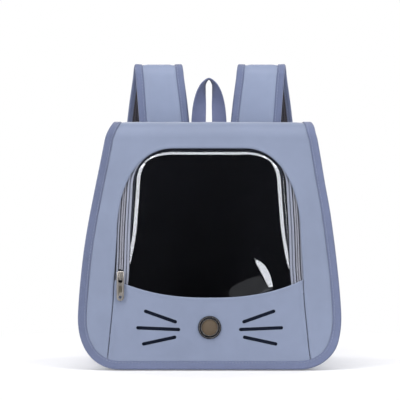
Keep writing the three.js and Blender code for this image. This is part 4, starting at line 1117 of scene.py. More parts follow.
def build_linings():
    """Dark cloth inside: round the sides and floor, on the back, under the top and behind the lower panel."""
    shares = np.linspace(0, 1, 30)
    grid, push, _ = gusset_grid(GUSSET + GAP + LINING, GUSSET_TOP - 2.5, 6.0, shares)
    rumple = np.abs(uneven(grid, 60, 31)) * 0.5 * smooth(np.minimum(shares, 1 - shares), 0, 0.1)
    side = grid_piece("side_lining", grid - rumple[..., None] * push, inwards=True)
    inset = SEAM_ALLOWANCE + GUSSET + LINING + 2
    angle = np.linspace(0, math.pi / 2, 20)
    corner = stack(
        WIDEST / 2 - CORNER_RUN + (CORNER_RUN - inset) * np.sin(angle),
        SEAM_LIFT + CORNER_RISE - (CORNER_RISE - inset) * np.cos(angle),
    )
    z = np.linspace(SEAM_LIFT + CORNER_RISE, BACK_TOP - 2, 50)[1:]
    edge = np.concatenate([corner, stack(half_width(z) - inset, z)])
    x = edge[:, :1] * np.linspace(-1, 1, 60)[None]
    z = np.broadcast_to(edge[:, 1:], x.shape)
    depth = BACK_PAD + GAP + LINING + 0.4 * np.abs(uneven(stack(x, 0 * x, z), 80, 33))
    back = grid_piece("rear_lining", stack(x, back_y(z), z) - depth[..., None] * BACK_OUT, (0, 400, 160))
    half = half_width(GUSSET_TOP) - SEAM_ALLOWANCE - GUSSET - LINING - 3
    x, y = np.meshgrid(np.linspace(-half, half, 60), np.linspace(FRONT_CENTRE[0], BACK_CENTRE[0], 36))
    top_z = HEIGHT - PANEL - GAP - 1.8 - 0.4 * uneven(stack(x, y, 0 * x), 60, 34)
    top = grid_piece("top_cloth_inside", stack(x, y, top_z), (0, 0, 900))
    grid, cut = lower_grid(PANEL + 3 * GAP, 20, [], [], 60, 24, 0)
    low = grid_piece("slot_backing", grid, cut=cut)
    return [thicken(piece, LINING_SKIN) for piece in (side, back, top, low)]


BLOW_FRAMES = 20
BLOW_SETTINGS = {
    "quality": 6, "mass": 0.25, "tension_stiffness": 12, "compression_stiffness": 12,
    "bending_stiffness": 0.6, "vertex_group_mass": "sewn", "use_pressure": True,
    "uniform_pressure_force": 4.0, "shrink_min": -0.035,
}


def pad_rise_at(x, z, rise):
    """Rise of the back pad without simulation: full in the middle, nothing at its seams."""
    foot, head = SEAM_LIFT + 2 * SEAM_FLAT, BACK_TOP - 26
    up = np.clip((z - foot) / (head - foot), 0, 1)
    share = np.minimum(1, np.abs(x) / (half_width(z) - SEAM_FLAT))
    return rise * (1 - share**4) * np.minimum(1, 6 * up * (1 - up))


def build_back_pad(rise):
    """Padded back: a sheet blown up by a cloth simulation between its sewn edges, then given its body."""
    z = side_heights(BACK_TOP, 16, 50)
    x = half_width(z)[:, None] * np.linspace(-1, 1, 72)[None]
    z = np.broadcast_to(z[:, None], x.shape)
    flat = stack(x, back_y(z), z)
    full = pad_rise_at(x, z, rise)
    piece = grid_piece("back_pad", flat + 0.25 * full[..., None] * BACK_OUT)
    blow_up(piece, (full < 0.12 * rise).reshape(-1))
    swell = ((points_of(piece) - flat.reshape(-1, 3)) @ BACK_OUT).clip(-0.3, None)
    most = np.quantile(swell, 0.995)
    swell = rise * np.tanh(1.15 * swell / most) / math.tanh(1.15)
    swell *= smooth(full.reshape(-1), 0, 0.25 * rise)
    set_points(piece, flat.reshape(-1, 3) + swell[:, None] * BACK_OUT)
    return thicken(piece, BACK_PAD)


def blow_up(piece, held):
    """Runs a short cloth simulation with pressure on a sheet whose held points stay, and applies it."""
    grip = piece.vertex_groups.new(name="sewn")
    grip.add([int(i) for i in np.flatnonzero(held)], 1.0, "REPLACE")
    cloth = piece.modifiers.new("cloth", "CLOTH")
    for key, value in BLOW_SETTINGS.items():
        setattr(cloth.settings, key, value)
    cloth.settings.effector_weights.gravity = 0.0
    scene = bpy.context.scene
    cloth.point_cache.frame_start, cloth.point_cache.frame_end = 1, BLOW_FRAMES
    for step in range(1, BLOW_FRAMES + 1):
        scene.frame_set(step)
    alone(piece)
    bpy.ops.object.modifier_apply(modifier=cloth.name)
    scene.frame_set(1)
    piece.vertex_groups.clear()


# A ribbon's face in from its edge, sunk where the thread pulls it in
RIBBON_EDGE = ((0, 0.75), (0.5, 0.3), (1.2, 0.05), (1.9, 0.12), (SEAM_IN, SEAM_SINK), (2.9, 0.12), (3.8, 0))


def binding_section(thickness, width, under=None):
    """A ribbon folded over an edge, seen along it: from its face round the edge to the other face."""
    skin = thickness / 2 + GAP + TAPE
    face = [(-width + step, skin - sunk) for step, sunk in RIBBON_EDGE] + [(-width / 2, skin + 0.04)]
    centre = GAP + TAPE - min(skin, 2.6)
    reach = GAP + TAPE - centre
    angles = np.linspace(math.pi / 2, -math.pi / 2, 13)
    turn = [(centre + reach * math.cos(a), skin * math.sin(a)) for a in angles]
    back = [(a + width - (under or width), -u) for a, u in face[-2::-1]]
    return np.array(face + turn + back)


def front_edge():
    """The front sheet's edge from the back over the top, round the front and back again, with its face."""
    places, outs = top_path(10, 24)
    half = half_width(places[:, 2])
    right = places + half[:, None] * [1, 0, 0]
    flat = outline(FRONT_TANGENT, 3.5)[1:-1]
    around = stack(flat[:, 0], front_y(flat[:, 1]), flat[:, 1])
    line = np.concatenate([right[::-1], around, right * OTHER_SIDE])
    face = np.concatenate([outs[::-1], np.broadcast_to(FRONT_OUT, around.shape), outs])
    keep = np.concatenate([[True], np.linalg.norm(np.diff(line, axis=0), axis=1) > 0.3])
    return line[keep] - PANEL / 2 * face[keep], face[keep]


def back_edge():
    flat = outline(BACK_TOP, 3.5)[::-1]
    line = stack(flat[:, 0], back_y(flat[:, 1]), flat[:, 1]) - BACK_PAD / 2 * BACK_OUT
    return line, np.broadcast_to(BACK_OUT, line.shape)


def build_binding(name, edge, thickness):
    """A ribbon over an edge, and the two rows of stitches that hold it."""
    line, outs = edge
    along = heading(line)
    across = unit(np.cross(outs, along))
    up = unit(np.cross(along, across))
    ribbon = sweep_piece(name, line, across, up, binding_section(thickness, BINDING_WIDTH), closed=False)
    skin = thickness / 2 + GAP + TAPE - SEAM_SINK
    row = -BINDING_WIDTH + SEAM_IN
    rows = [(line + row * across + side * skin * up, side * up) for side in (1, -1)]
    return thicken(ribbon, RIBBON_SKIN), rows


# Zip and window


def build_zip_tape():
    """Ridged tape behind the coil, from under the door's edge to beside the window."""
    share = np.linspace(0, 1, 40)[None]
    ridge = 0.22 * np.abs(np.sin(share * math.pi * 9)) ** 3
    outer = even(arch_line(DOOR_ARCH, 2.5, 6, ZIP_FOOT), 300)[:, None]
    inner = even(arch_line(WINDOW_ARCH, 2.5, 4, ZIP_FOOT), 300)[:, None]
    flat = mix(outer, inner, share[..., None])
    grid = front_at(flat[..., 0], flat[..., 1], TAPE_DEPTH + 0.3 - ridge)
    return thicken(grid_piece("zip_cloth", grid), RIBBON_SKIN)


def beside_coil(offsets, depths):
    """Points on the front at offsets from the coil's arch, each at its own depth."""
    line = arch_line(COIL_ARCH, 2.0, 0, ZIP_FOOT)
    flat = line[:, None] + np.asarray(offsets, float)[None, :, None] * square_to(line)[:, None]
    return front_at(flat[..., 0], flat[..., 1], np.asarray(depths, float)[None])


def roll(centre, width, base, height, steps=15):
    """Offsets and depths of one round roll of cloth beside the coil."""
    turn = np.linspace(0, math.pi, steps)
    return centre + width / 2 * np.cos(turn), base - height * np.sin(turn) ** 0.8


def build_zip_rolls():
    """The tape's outer roll, and the two rolls of turned cloth between the coil and the window."""
    outer = grid_piece("tape_roll", beside_coil(*roll(5.2, 3.3, 5.2, 2.2)))
    near, far = roll(-5.0, 3.1, 5.2, 2.5), roll(-9.0, 3.2, 5.2, 2.6)
    offsets, depths = np.concatenate([near[0], far[0]]), np.concatenate([near[1], far[1]])
    edge = grid_piece("window_edge", beside_coil(offsets, depths))
    return thicken(outer, ROLL_SKIN), thicken(edge, ROLL_SKIN)


def from_arch(x, z, line):
    """Distance from places on the front to an arch."""
    place = stack(x, z).reshape(-1, 2)
    near = np.linalg.norm(place[:, None] - line[None], axis=2).argmin(1)
    off, along = place - line[near], heading(line)[near]
    return np.abs(off[:, 0] * along[:, 1] - off[:, 1] * along[:, 0]).reshape(np.shape(x))


def crease(x, z, start, end, width, slope=0.44):
    """Height of a crease in the clear sheet: a long rise to its crest, then a fall as wide as a leaf."""
    start, end = np.array(start), np.array(end)
    reach = np.linalg.norm(end - start)
    way = (end - start) / reach
    away = stack(x, z) - start
    along, beside = (away @ way) / reach, away @ np.array([-way[1], way[0]])
    wide = width * np.sin(0.77 * np.pi * np.clip(along, 0, 1) ** 0.75) * smooth(1.25 - along, 0, 0.25)
    fall, rise = np.clip(wide - beside, 0, None), wide * np.exp(-((beside / 45) ** 2))
    return slope * np.where(beside > 0, fall, rise)


WINDOW_FOOT, WINDOW_EDGE = 86, 2.6
# The leaf-shaped crease in the clear sheet: its start and end as x and z, and its width
LEAF = ((55.4, 146.2), (77, 108), 11.0)


def build_window():
    """Clear sheet that bends forward from its edge, with a soft crease low on the right."""
    legs, (_, top_z), _ = WINDOW_ARCH
    shoulder_z, edge = legs[-1][1], WINDOW_EDGE
    leg = np.linspace(WINDOW_FOOT, shoulder_z, 100)[:-1]
    shoulder = mix(shoulder_z, top_z, np.sin(np.linspace(0, math.pi / 2, 60)))
    z = np.concatenate([leg, shoulder, [top_z + edge / 2, top_z + edge]])
    half = arch_half(WINDOW_ARCH, np.minimum(z, top_z)) + edge
    share = np.sin(np.linspace(-1, 1, 160) * math.pi / 2 * 0.86)
    x = half[:, None] * (share / share[-1])[None]
    z = np.broadcast_to(z[:, None], x.shape)
    inside = (np.abs(x) < arch_half(WINDOW_ARCH, np.minimum(z, top_z))) & (z < top_z)
    gap = np.where(inside, from_arch(x, z, arch_line(WINDOW_ARCH, 0.8)), 0)
    bulge = WINDOW_SWELL * (1 - np.exp(-gap / 6.5)) * smooth(z, 90, 190)
    ripple = 0.5 * uneven(stack(x, 0 * x, z), 150, 41) * smooth(gap, 8, 50)
    bulge = bulge + crease(x, z, *LEAF) * smooth(gap, 2, 10) + ripple
    bulge = np.minimum(bulge, WINDOW_SWELL + 3.0)
    grid = front_at(x - 1.0, z, TAPE_DEPTH - bulge)
    return thicken(grid_piece("clear_window", grid), TAPE)


SLIDER_LENGTH = 13.4
SLIDER_TOP = float(lip_at(118)) + 1.2 + SLIDER_LENGTH


def build_zip_coil(pitch):
    """Two rows of round coil turns along the arch, each a copy of one turn."""
    tooth = drum(1.0, 1.0, (0, 0, 0), 10)
    bpy.ops.object.mode_set(mode="EDIT")
    bpy.ops.mesh.select_all(action="SELECT")
    bpy.ops.transform.resize(value=(1.22, 0.8 * pitch, 1.2))
    bevel(tooth, 0.3, 1, lambda co, n: abs(n.y) > 0.9, "FACE")
    shape = np.array([v.co for v in tooth.data.vertices])
    faces = [list(f.vertices) for f in tooth.data.polygons]
    bpy.data.objects.remove(tooth)
    flat = arch_line(COIL_ARCH, 1.0, 0, ZIP_FOOT, left_from=SLIDER_TOP + GAP)
    line = front_at(flat[:, 0], flat[:, 1], COIL_DEPTH + COIL_HEIGHT / 2)
    at = lengths(line)
    points, made, count = [], [], 0
    for side, start in ((-1, 1.1), (1, 0.6)):
        spots = np.arange(pitch * start, at[-1] - 0.5, pitch)
        centre = between(at, line, spots)
        along = unit(between(at, np.gradient(line, axis=0), spots))
        up = unit(FRONT_OUT - (along @ FRONT_OUT)[:, None] * along)
        across = unit(np.cross(along, up))
        for c, a, w, u in zip(centre, across, along, up):
            points.append(c + (shape[:, :1] + side * COIL_ROW) * a + shape[:, 1:2] * w + shape[:, 2:] * u)
            made += [[v + count for v in f] for f in faces]
            count += len(shape)
    return new_piece("zip_teeth", np.concatenate(points), made)


# Fittings, modelled in millimetres and then placed


def pick(piece, kind, test):
    """In edit mode, selects only the vertices, edges or faces whose middle and normal pass a test."""
    if piece.mode != "EDIT":
        bpy.ops.object.mode_set(mode="EDIT")
    bpy.ops.mesh.select_mode(type=kind)
    bpy.ops.mesh.select_all(action="DESELECT")
    mesh = bmesh.from_edit_mesh(piece.data)
    mesh.normal_update()
    for item in {"VERT": mesh.verts, "EDGE": mesh.edges, "FACE": mesh.faces}[kind]:
        if kind == "VERT":
            item.select = test(item.co, item.normal)
        elif kind == "EDGE":
            a, b = item.verts[0].co, item.verts[1].co
            item.select = test((a + b) / 2, b - a)
        else:
            item.select = test(item.calc_center_median(), item.normal)
    mesh.select_flush_mode()
    bmesh.update_edit_mesh(piece.data)


def block(width, depth, height, centre=(0, 0, 0)):
    """A box primitive at a size and place, ready to shape."""
    fresh()
    bpy.ops.mesh.primitive_cube_add(size=1.0, location=centre)
    bpy.context.object.scale = (width, depth, height)
    return set_in()


def drum(radius, depth, centre, sides=48):
    """A round bar along Y."""
    fresh()
    bpy.ops.mesh.primitive_cylinder_add(
        vertices=sides, radius=radius, depth=depth, location=centre, rotation=(math.pi / 2, 0, 0)
    )
    return set_in()


def bevel(piece, offset, segments, test, kind="EDGE"):
    """Rounds the edges of a fitting that pass a test, or those of its faces that do."""
    pick(piece, kind, test)
    bpy.ops.mesh.bevel(offset=offset, segments=segments, affect="EDGES")
    bpy.ops.object.mode_set(mode="OBJECT")


def round_edges(piece, width, segments=2, angle=40):
    """Rounds all edges of a fitting that turn by more than an angle."""
    sharp = math.radians(angle)
    modify(piece, "BEVEL", width=width, segments=segments, limit_method="ANGLE", angle_limit=sharp)


def carve(piece, *cutters):
    """Cuts the shapes of other pieces out of a piece."""
    for cutter in cutters:
        modify(piece, "BOOLEAN", object=cutter, operation="DIFFERENCE", solver="EXACT")
        bpy.data.objects.remove(cutter)
    return piece


def join(*pieces):
    """Makes one piece of several."""
    alone(pieces[0])
    for other in pieces[1:]:
        other.select_set(True)
    bpy.ops.object.join()
    return bpy.context.object


def settle(piece, name, matrix, soften=0.0, segments=2):
    """Rounds a fitting's sharp edges, shades it and puts it in its place in metres."""
    if soften:
        round_edges(piece, soften, segments, 32)
    alone(piece)
    bpy.ops.object.mode_set(mode="EDIT")
    bpy.ops.mesh.select_all(action="SELECT")
    bpy.ops.mesh.remove_doubles(threshold=0.0005)
    bpy.ops.mesh.normals_make_consistent(inside=False)
    bpy.ops.object.mode_set(mode="OBJECT")
    bpy.ops.object.shade_smooth_by_angle(angle=math.radians(38))
    piece.data.transform(Matrix.Scale(MM, 4) @ matrix)
    piece.name = piece.data.name = name
    return piece


# Section of the vent's ring, as radius and depth
VENT_RING = [
    (11.3, -1.3), (11.5, -1.9), (12.1, -2.2), (13.2, -2.3), (14.1, -2.05), (14.75, -1.4),
    (15.0, -0.75), (15.0, -0.35), (12.3, -0.35), (12.3, 2.35), (11.3, 2.35), (11.3, 0.6),
]
GAUZE_RADIUS, GAUZE_RISE, GAUZE_THICK = 10.9, 1.15, 0.8


def bead(radius, depth, wide, high):
    """Section of a thin round ring."""
    turn = np.linspace(0, 2 * math.pi, 11)[:-1]
    return [(radius + wide * math.cos(a), depth + high * math.sin(a)) for a in turn]


def spun(section, name, matrix, steps=72):
    """A ring spun round Y from a closed section of radius and depth."""
    fresh()
    bpy.ops.mesh.primitive_circle_add(vertices=len(section), radius=1.0)
    made = bpy.context.object
    for vertex, (radius, depth) in zip(made.data.vertices, section):
        vertex.co = (radius, depth, 0)
    bpy.ops.object.mode_set(mode="EDIT")
    bpy.ops.mesh.select_all(action="SELECT")
    bpy.ops.mesh.spin(steps=steps, angle=2 * math.pi, center=(0, 0, 0), axis=(0, 1, 0))
    bpy.ops.mesh.select_all(action="SELECT")
    bpy.ops.mesh.remove_doubles(threshold=0.001)
    bpy.ops.object.mode_set(mode="OBJECT")
    return settle(made, name, matrix)


def vent_matrix():
    low, high = front_at(0, VENT_Z - VENT_OUTER), front_at(0, VENT_Z + VENT_OUTER)
    lean = -math.atan2(high[1] - low[1], high[2] - low[2])
    return Matrix.Translation(Vector(front_at(0, VENT_Z))) @ Matrix.Rotation(lean, 4, "X")


def build_vent():
    """Ring of the vent, the thin rim inside it, the thin line on it and the domed wire mesh."""
    matrix = vent_matrix()
    ring = spun(VENT_RING, "vent_bezel", matrix)
    rim = spun(bead(10.8, -0.95, 0.38, 0.5), "vent_rim", matrix)
    line = spun(bead(13.4, -2.25, 0.12, 0.12), "vent_ring_line", matrix)
    fresh()
    bpy.ops.mesh.primitive_circle_add(
        vertices=64, radius=GAUZE_RADIUS, fill_type="NGON", rotation=(math.pi / 2, 0, 0)
    )
    disc = set_in()
    bpy.ops.object.mode_set(mode="EDIT")
    bpy.ops.mesh.select_all(action="SELECT")
    for _ in range(5):
        bpy.ops.mesh.inset(thickness=1.8, depth=0.0)
    bpy.ops.object.mode_set(mode="OBJECT")
    for vertex in disc.data.vertices:
        from_middle = math.hypot(vertex.co.x, vertex.co.z) / GAUZE_RADIUS
        vertex.co.y = -GAUZE_RISE * (1 - from_middle**2)
    disc.data.update()
    if sum(f.normal.y for f in disc.data.polygons) > 0:
        disc.data.flip_normals()
    modify(disc, "SOLIDIFY", thickness=GAUZE_THICK, offset=-1.0)
    layer = disc.data.uv_layers.new(name="cut")
    for loop in disc.data.loops:
        co = disc.data.vertices[loop.vertex_index].co * MM * CUT_SCALE
        layer.data[loop.index].uv = (co.x, co.z)
    return ring, rim, line, settle(disc, "vent_gauze", matrix)


ZIP_PLACE = Matrix.Translation((-115.892, -93.134, 123.083)) @ Matrix.Rotation(-LEAN, 4, "X")
PIVOT = (0, -3.2, -3.5)


def build_slider():
    """Zip slider: a tapered shield with a raised face, side grooves and a bridge, and a dark block below it
    that paints the shade seen through the pull's eye.
    """
    shield = block(9.6, 4.3, 11.6, (0, 0.55, -0.9))
    pick(shield, "VERT", lambda co, n: co.z < 0)
    bpy.ops.transform.resize(value=(7.6 / 9.6, 1, 1))
    bevel(shield, 2.6, 5, lambda co, way: abs(way.y) > 1 and co.z > 0)
    bevel(shield, 1.2, 3, lambda co, way: abs(way.y) > 1 and co.z < -6)
    pick(shield, "FACE", lambda co, n: n.y < -0.9)
    bpy.ops.mesh.inset(thickness=1.3, depth=0.0)
    bpy.ops.transform.translate(value=(0, -0.55, 0))
    for side in (1, -1):
        carve(shield, block(2.2, 1.3, 20, (side * 5.0, 1.2, 0)))
    bridge = block(2.2, 5.8, 7.6, (0, -3.2, -2.5))
    pick(bridge, "FACE", lambda co, n: abs(n.x) > 0.9)
    bpy.ops.mesh.inset(thickness=1.3, depth=0.0)
    bpy.ops.mesh.bridge_edge_loops()
    bevel(bridge, 1.1, 4, lambda co, way: abs(way.x) > 1 and co.y < -6)
    round_edges(shield, 0.35)
    round_edges(bridge, 0.28)
    # Painted shade: a dark block below the shield, so the pull's eye shows black as if in shadow
    shade_block = block(6.2, 3.4, 4.8, (0, 0.8, -8.7))
    return settle(join(shield, bridge), "slider", ZIP_PLACE), settle(shade_block, "slider_mouth", ZIP_PLACE, 0.5)


def build_pull():
    """Pull tab: a flat tongue with an eye for the bridge, a round hole with a rim and its pressed middle."""
    length, width, middle, end = 31.3, 9.4, -15.2, -25.5
    tongue = block(width, 1.5, length, (0, 0, 0.9 - length / 2))
    bevel(tongue, 4.66, 10, lambda co, way: abs(way.y) > 1 and co.z < -29)
    bevel(tongue, 2.2, 5, lambda co, way: abs(way.y) > 1 and co.z > 0.5)
    eye = block(5.4, 6, 6.3, (0, 0, -0.9 - 6.3 / 2))
    bevel(eye, 2.5, 6, lambda co, way: abs(way.y) > 1)
    carve(tongue, eye, drum(2.2, 6, (0, 0, end)))
    for side in (-1, 1):
        press = block(5.2, 1.0, 9.0, (0, side * 1.02, middle))
        bevel(press, 1.3, 4, lambda co, way: abs(way.y) > 0.5)
        carve(tongue, press)
    round_edges(tongue, 0.24)
    fresh()
    bpy.ops.mesh.primitive_torus_add(
        major_radius=2.75, minor_radius=0.55, major_segments=40, minor_segments=10,
        location=(0, -0.62, end), rotation=(math.pi / 2, 0, 0),
    )
    rim = set_in()
    place = ZIP_PLACE @ Matrix.Translation(PIVOT)
    pressed = join(*(block(4.8, 0.12, 8.6, (0, side * 0.46, middle)) for side in (-1, 1)))
    return settle(join(tongue, rim), "pull", place), settle(pressed, "pull_pressed", place)


# Straps, webbing and handle

# Middle line of the right strap from its sewn end over the top and down behind: x, y, z and width
STRAP_LINE = np.array([
    (63, 98.6, 288, 68), (65, 97.4, 318, 68), (68, 99, 352, 67), (71.6, 103, 386, 65), (73, 107, 399.4, 65),
    (74.4, 116, 406.2, 65), (75.8, 125, 401.4, 65), (77.4, 130, 388, 65), (83, 136, 350, 65),
    (92, 144, 280, 64), (101, 145, 205, 62), (108, 139, 140, 58), (111, 134, 112, 52),
])
STRAP_MIDDLE, STRAP_EDGE, STRAP_BINDING, STRAP_UNDER = 8.0, 3.6, 9.5, 7.0
STRAP_MESH, STRAP_SHIFT = 1.2, 3.2
WEB_WIDTH, WEB_THICK = 25.0, 1.8
ADJUSTER_WIDTH, ADJUSTER_HEIGHT, ADJUSTER_DEPTH = 34, 26, 3.6
ADJUSTER_BAR, ADJUSTER_SLOT, ADJUSTER_TAB = 3, 6.6, 16
ANCHOR_X, ANCHOR_LOW, ANCHOR_HIGH = 118, 22, 48
HANDLE_WIDTH, HANDLE_THICK = 20.5, 2.0
# Handle leg: rise above the top, offset from the middle and turn in degrees
HANDLE_LEG = [(-30, 14.6, 0), (0, 14.6, 4), (26, 13.2, 26), (46, 10.6, 54), (58, 6.6, 76), (64, 0, 90)]


def through(points, steps):
    """A smooth line through points, with a number of steps from each point to the next."""
    points = np.asarray(points, float)
    ends = np.concatenate([[2 * points[0] - points[1]], points, [2 * points[-1] - points[-2]]])
    line = []
    for i in range(len(points) - 1):
        p0, p1, p2, p3 = ends[i : i + 4]
        d0, d1, d2 = [max(np.linalg.norm(b - a) ** 0.5, 1e-6) for a, b in ((p0, p1), (p1, p2), (p2, p3))]
        t1 = ((p1 - p0) / d0 - (p2 - p0) / (d0 + d1) + (p2 - p1) / d1) * d1
        t2 = ((p2 - p1) / d1 - (p3 - p1) / (d1 + d2) + (p3 - p2) / d2) * d1
        t = np.linspace(0, 1, steps + 1)[: None if i == len(points) - 2 else -1, None]
        square, cube = -3 * p1 + 3 * p2 - 2 * t1 - t2, 2 * p1 - 2 * p2 + t1 + t2
        line.append(p1 + t1 * t + square * t**2 + cube * t**3)
    return np.concatenate(line)


def strap_frames(steps=8):
    line = through(STRAP_LINE[:, :3], steps)
    width = np.interp(np.arange(len(line)) / steps, np.arange(len(STRAP_LINE)), STRAP_LINE[:, 3])
    along = heading(line)
    across = unit(np.array([1.0, 0, 0]) - along[:, :1] * along)
    return line, across, np.cross(across, along), width


def strap_pad_section(width, end):
    """A foam pad, full in the middle and thin where the bindings grip it."""
    edge = width / 2
    grip = edge - STRAP_BINDING - 0.5
    turn = math.pi / 2 * 0.96
    a = edge * np.sin(np.linspace(-1, 1, 33) * turn) / math.sin(turn)
    full = smooth(grip - np.abs(a), -1.0, 9.0)
    rise = mix(STRAP_EDGE / 2, 3.1, full) + 0.3 * full * (1 - (a / grip).clip(-1, 1) ** 2)
    low = mix(STRAP_EDGE / 2, STRAP_MIDDLE / 2 - 0.1, full)
    return np.concatenate([stack(a, rise * end), stack(a, -low * end)[::-1]])


def strap_mesh_section(width):
    """The mesh under the pad, domed a little between the bindings."""
    half = width / 2 - 6.2
    a = np.linspace(-half, half, 25)
    dome = smooth(half - np.abs(a), -0.5, 7.0)
    base = -mix(3.4, STRAP_MIDDLE / 2 - 0.1, smooth(half - np.abs(a), 0, 7.0)) - 0.15
    return np.concatenate([stack(a, base), stack(a, base - 0.25 - STRAP_MESH * dome)[::-1]])


def build_strap():
    """The right shoulder strap: its pad, the mesh under it, two bindings and their stitches."""
    line, across, up, width = strap_frames()
    run = lengths(line)
    end = np.sqrt(np.clip(1 - (1 - np.clip((run[-1] - run) / 5, 0, 1)) ** 2, 0.05, 1))
    sections = np.stack([strap_pad_section(w, e) for w, e in zip(width, end)])
    pad = sweep_piece("strap_pad_right", line, across, up, sections)
    sections = np.stack([strap_mesh_section(w) for w in width[:-2]])
    mesh = sweep_piece("strap_mesh_pad_right", line[:-2], across[:-2], up[:-2], sections)
    profile = binding_section(STRAP_EDGE + GAP, STRAP_BINDING, STRAP_UNDER)
    bindings, rows = [], []
    skin = (STRAP_EDGE + GAP) / 2 + GAP + TAPE - SEAM_SINK
    for side, name in ((1, "strap_ribbon_outer_right"), (-1, "strap_ribbon_inner_right")):
        section = np.stack([stack(side * (w / 2 + profile[:, 0]), profile[:, 1]) for w in width])
        ribbon = sweep_piece(name, line, across, up, section, closed=False)
        bindings.append(thicken(ribbon, RIBBON_SKIN))
        for face, wide in ((1, STRAP_BINDING), (-1, STRAP_UNDER)):
            seam = side * (width / 2 - wide + SEAM_IN)
            rows.append((line + seam[:, None] * across + face * skin * up, face * up))
    return pad, mesh, bindings, rows


def set_over(piece):
    """Sets the left strap as it stands, a little nearer the middle at its top."""
    points = points_of(piece)
    points[:, 0] += STRAP_SHIFT * smooth(points[:, 2], 150, 330) * (points[:, 0] < 0)
    return set_points(piece, points)


def mirrored(piece):
    """A right piece on the left side of the bag, with its own mesh."""
    name = piece.name.replace("right", "left")
    made = bpy.data.objects.new(name, piece.data.copy())
    made.data.name = name
    bpy.context.scene.collection.objects.link(made)
    made.data.transform(Matrix.Scale(-1, 4, (1, 0, 0)))
    made.data.flip_normals()
    return made


LOW_END = STRAP_LINE[-1, :3]
LOW_DOWN = unit(np.array([ANCHOR_X, float(back_y(ANCHOR_HIGH)) + 6, ANCHOR_HIGH]) - LOW_END)
LOW_ACROSS = unit(np.array([1.0, 0, 0]) - LOW_DOWN[0] * LOW_DOWN)
LOW_OUT = np.cross(LOW_ACROSS, LOW_DOWN)
ADJUSTER_Z = -ADJUSTER_TAB - ADJUSTER_HEIGHT / 2
TURN = ADJUSTER_DEPTH / 2 + 2 * GAP + WEB_THICK / 2
TOP_BAR = ADJUSTER_Z + ADJUSTER_HEIGHT / 2 - ADJUSTER_BAR / 2
FOOT_BAR = ADJUSTER_Z - ADJUSTER_HEIGHT / 2 + ADJUSTER_BAR / 2


def flat_section(width, thickness):
    """A webbing's section: flat faces and round woven edges."""
    r = thickness / 2
    turn = np.linspace(math.pi / 2, -math.pi / 2, 7)
    right = stack(width / 2 - r + r * np.cos(turn), r * np.sin(turn))
    top = stack(np.linspace(-width / 2 + r, width / 2 - r, 9)[1:-1], r)
    return np.concatenate([top, right, -top, -right])


def low_band(name, points):
    """A webbing band along y and z points of the strap's lower frame, and its middle line."""
    local = resample(through(points, 6), 1.6)
    line = LOW_END + local[:, :1] * LOW_OUT - local[:, 1:] * LOW_DOWN
    along = heading(line)
    across = np.broadcast_to(LOW_ACROSS, line.shape)
    up = unit(np.cross(across, along))
    return sweep_piece(name, line, across, up, flat_section(WEB_WIDTH, WEB_THICK)), line


def half_turn(z, downwards):
    """Points of a webbing's way round a bar."""
    angle = np.radians(np.arange(0, 181, 30))
    drop = np.sin(angle) * TURN * (-1 if downwards else 1)
    return [(y, z + d) for y, d in zip(-np.cos(angle) * TURN, drop)]


def build_low_webbing():
    """The tab at the strap's end and the lower webbing, each turned round a bar of the adjuster."""
    tab = [
        (0, -4 * GAP), (-TURN * 0.6, -ADJUSTER_TAB * 0.45), (-TURN, TOP_BAR + 2),
        *half_turn(TOP_BAR - 0.6, True), (TURN, TOP_BAR + 6),
    ]

    def rest(z):
        p = np.array([ANCHOR_X, float(back_y(z)) + WEB_THICK / 2 + 6.5, z]) - LOW_END
        return float(p @ LOW_OUT), float(-p @ LOW_DOWN)

    run = [
        (TURN, FOOT_BAR - 8), *half_turn(FOOT_BAR + 0.6, False)[::-1], (-TURN, FOOT_BAR - 4),
        rest(ANCHOR_HIGH), rest(ANCHOR_LOW),
    ]
    return low_band("strap_end_tab_right", tab)[0], *low_band("lower_strap_right", run)


def build_adjuster():
    """Strap adjuster: a moulded frame with two slots and a ridged bar between them."""
    frame_block = block(ADJUSTER_WIDTH, ADJUSTER_DEPTH, ADJUSTER_HEIGHT, (0, 0, ADJUSTER_Z))
    bevel(frame_block, 3.4, 5, lambda co, way: abs(way.y) > 1)
    middle = ADJUSTER_HEIGHT / 2 - ADJUSTER_BAR - ADJUSTER_SLOT / 2
    slots = [block(WEB_WIDTH + 2, 12, ADJUSTER_SLOT, (0, 0, ADJUSTER_Z + step)) for step in (middle, -middle)]
    face = -ADJUSTER_DEPTH / 2
    grips = [block(WEB_WIDTH, 0.7, 0.8, (0, face, ADJUSTER_Z + step)) for step in (-1.6, 0, 1.6)]
    carve(frame_block, *slots, *grips)
    across, out, rise = Vector(LOW_ACROSS), Vector(LOW_OUT), Vector(-LOW_DOWN)
    matrix = Matrix.Translation(Vector(LOW_END)) @ Matrix((across, out, rise)).transposed().to_4x4()
    return settle(frame_block, "adjuster_buckle_right", matrix, soften=0.7, segments=3)


def build_handle():
    """Webbing loop whose flat ends lie on the back and whose top is turned edge on."""
    leg = []
    for rise, x, turn in HANDLE_LEG:
        y = float(back_y(min(HEIGHT + rise, HEIGHT))) + HANDLE_THICK / 2 + 2 * GAP
        leg.append(((x, y, HEIGHT + rise), turn))
    loop = [((-p[0], p[1], p[2]), turn) for p, turn in leg] + [(p, 180 - turn) for p, turn in leg[-2::-1]]
    steps = 14
    line = through([p for p, _ in loop], steps)
    turn = np.radians(np.interp(np.arange(len(line)) / steps, np.arange(len(loop)), [t for _, t in loop]))
    turn = np.convolve(np.pad(turn, 4, mode="edge"), np.ones(9) / 9, "valid")
    along = heading(line)
    across = stack(np.cos(turn), np.sin(turn), 0 * turn)
    across = unit(across - (across * along).sum(1)[:, None] * along)
    section = flat_section(HANDLE_WIDTH, HANDLE_THICK)
    return sweep_piece("carry_loop", line, across, np.cross(across, along), section)


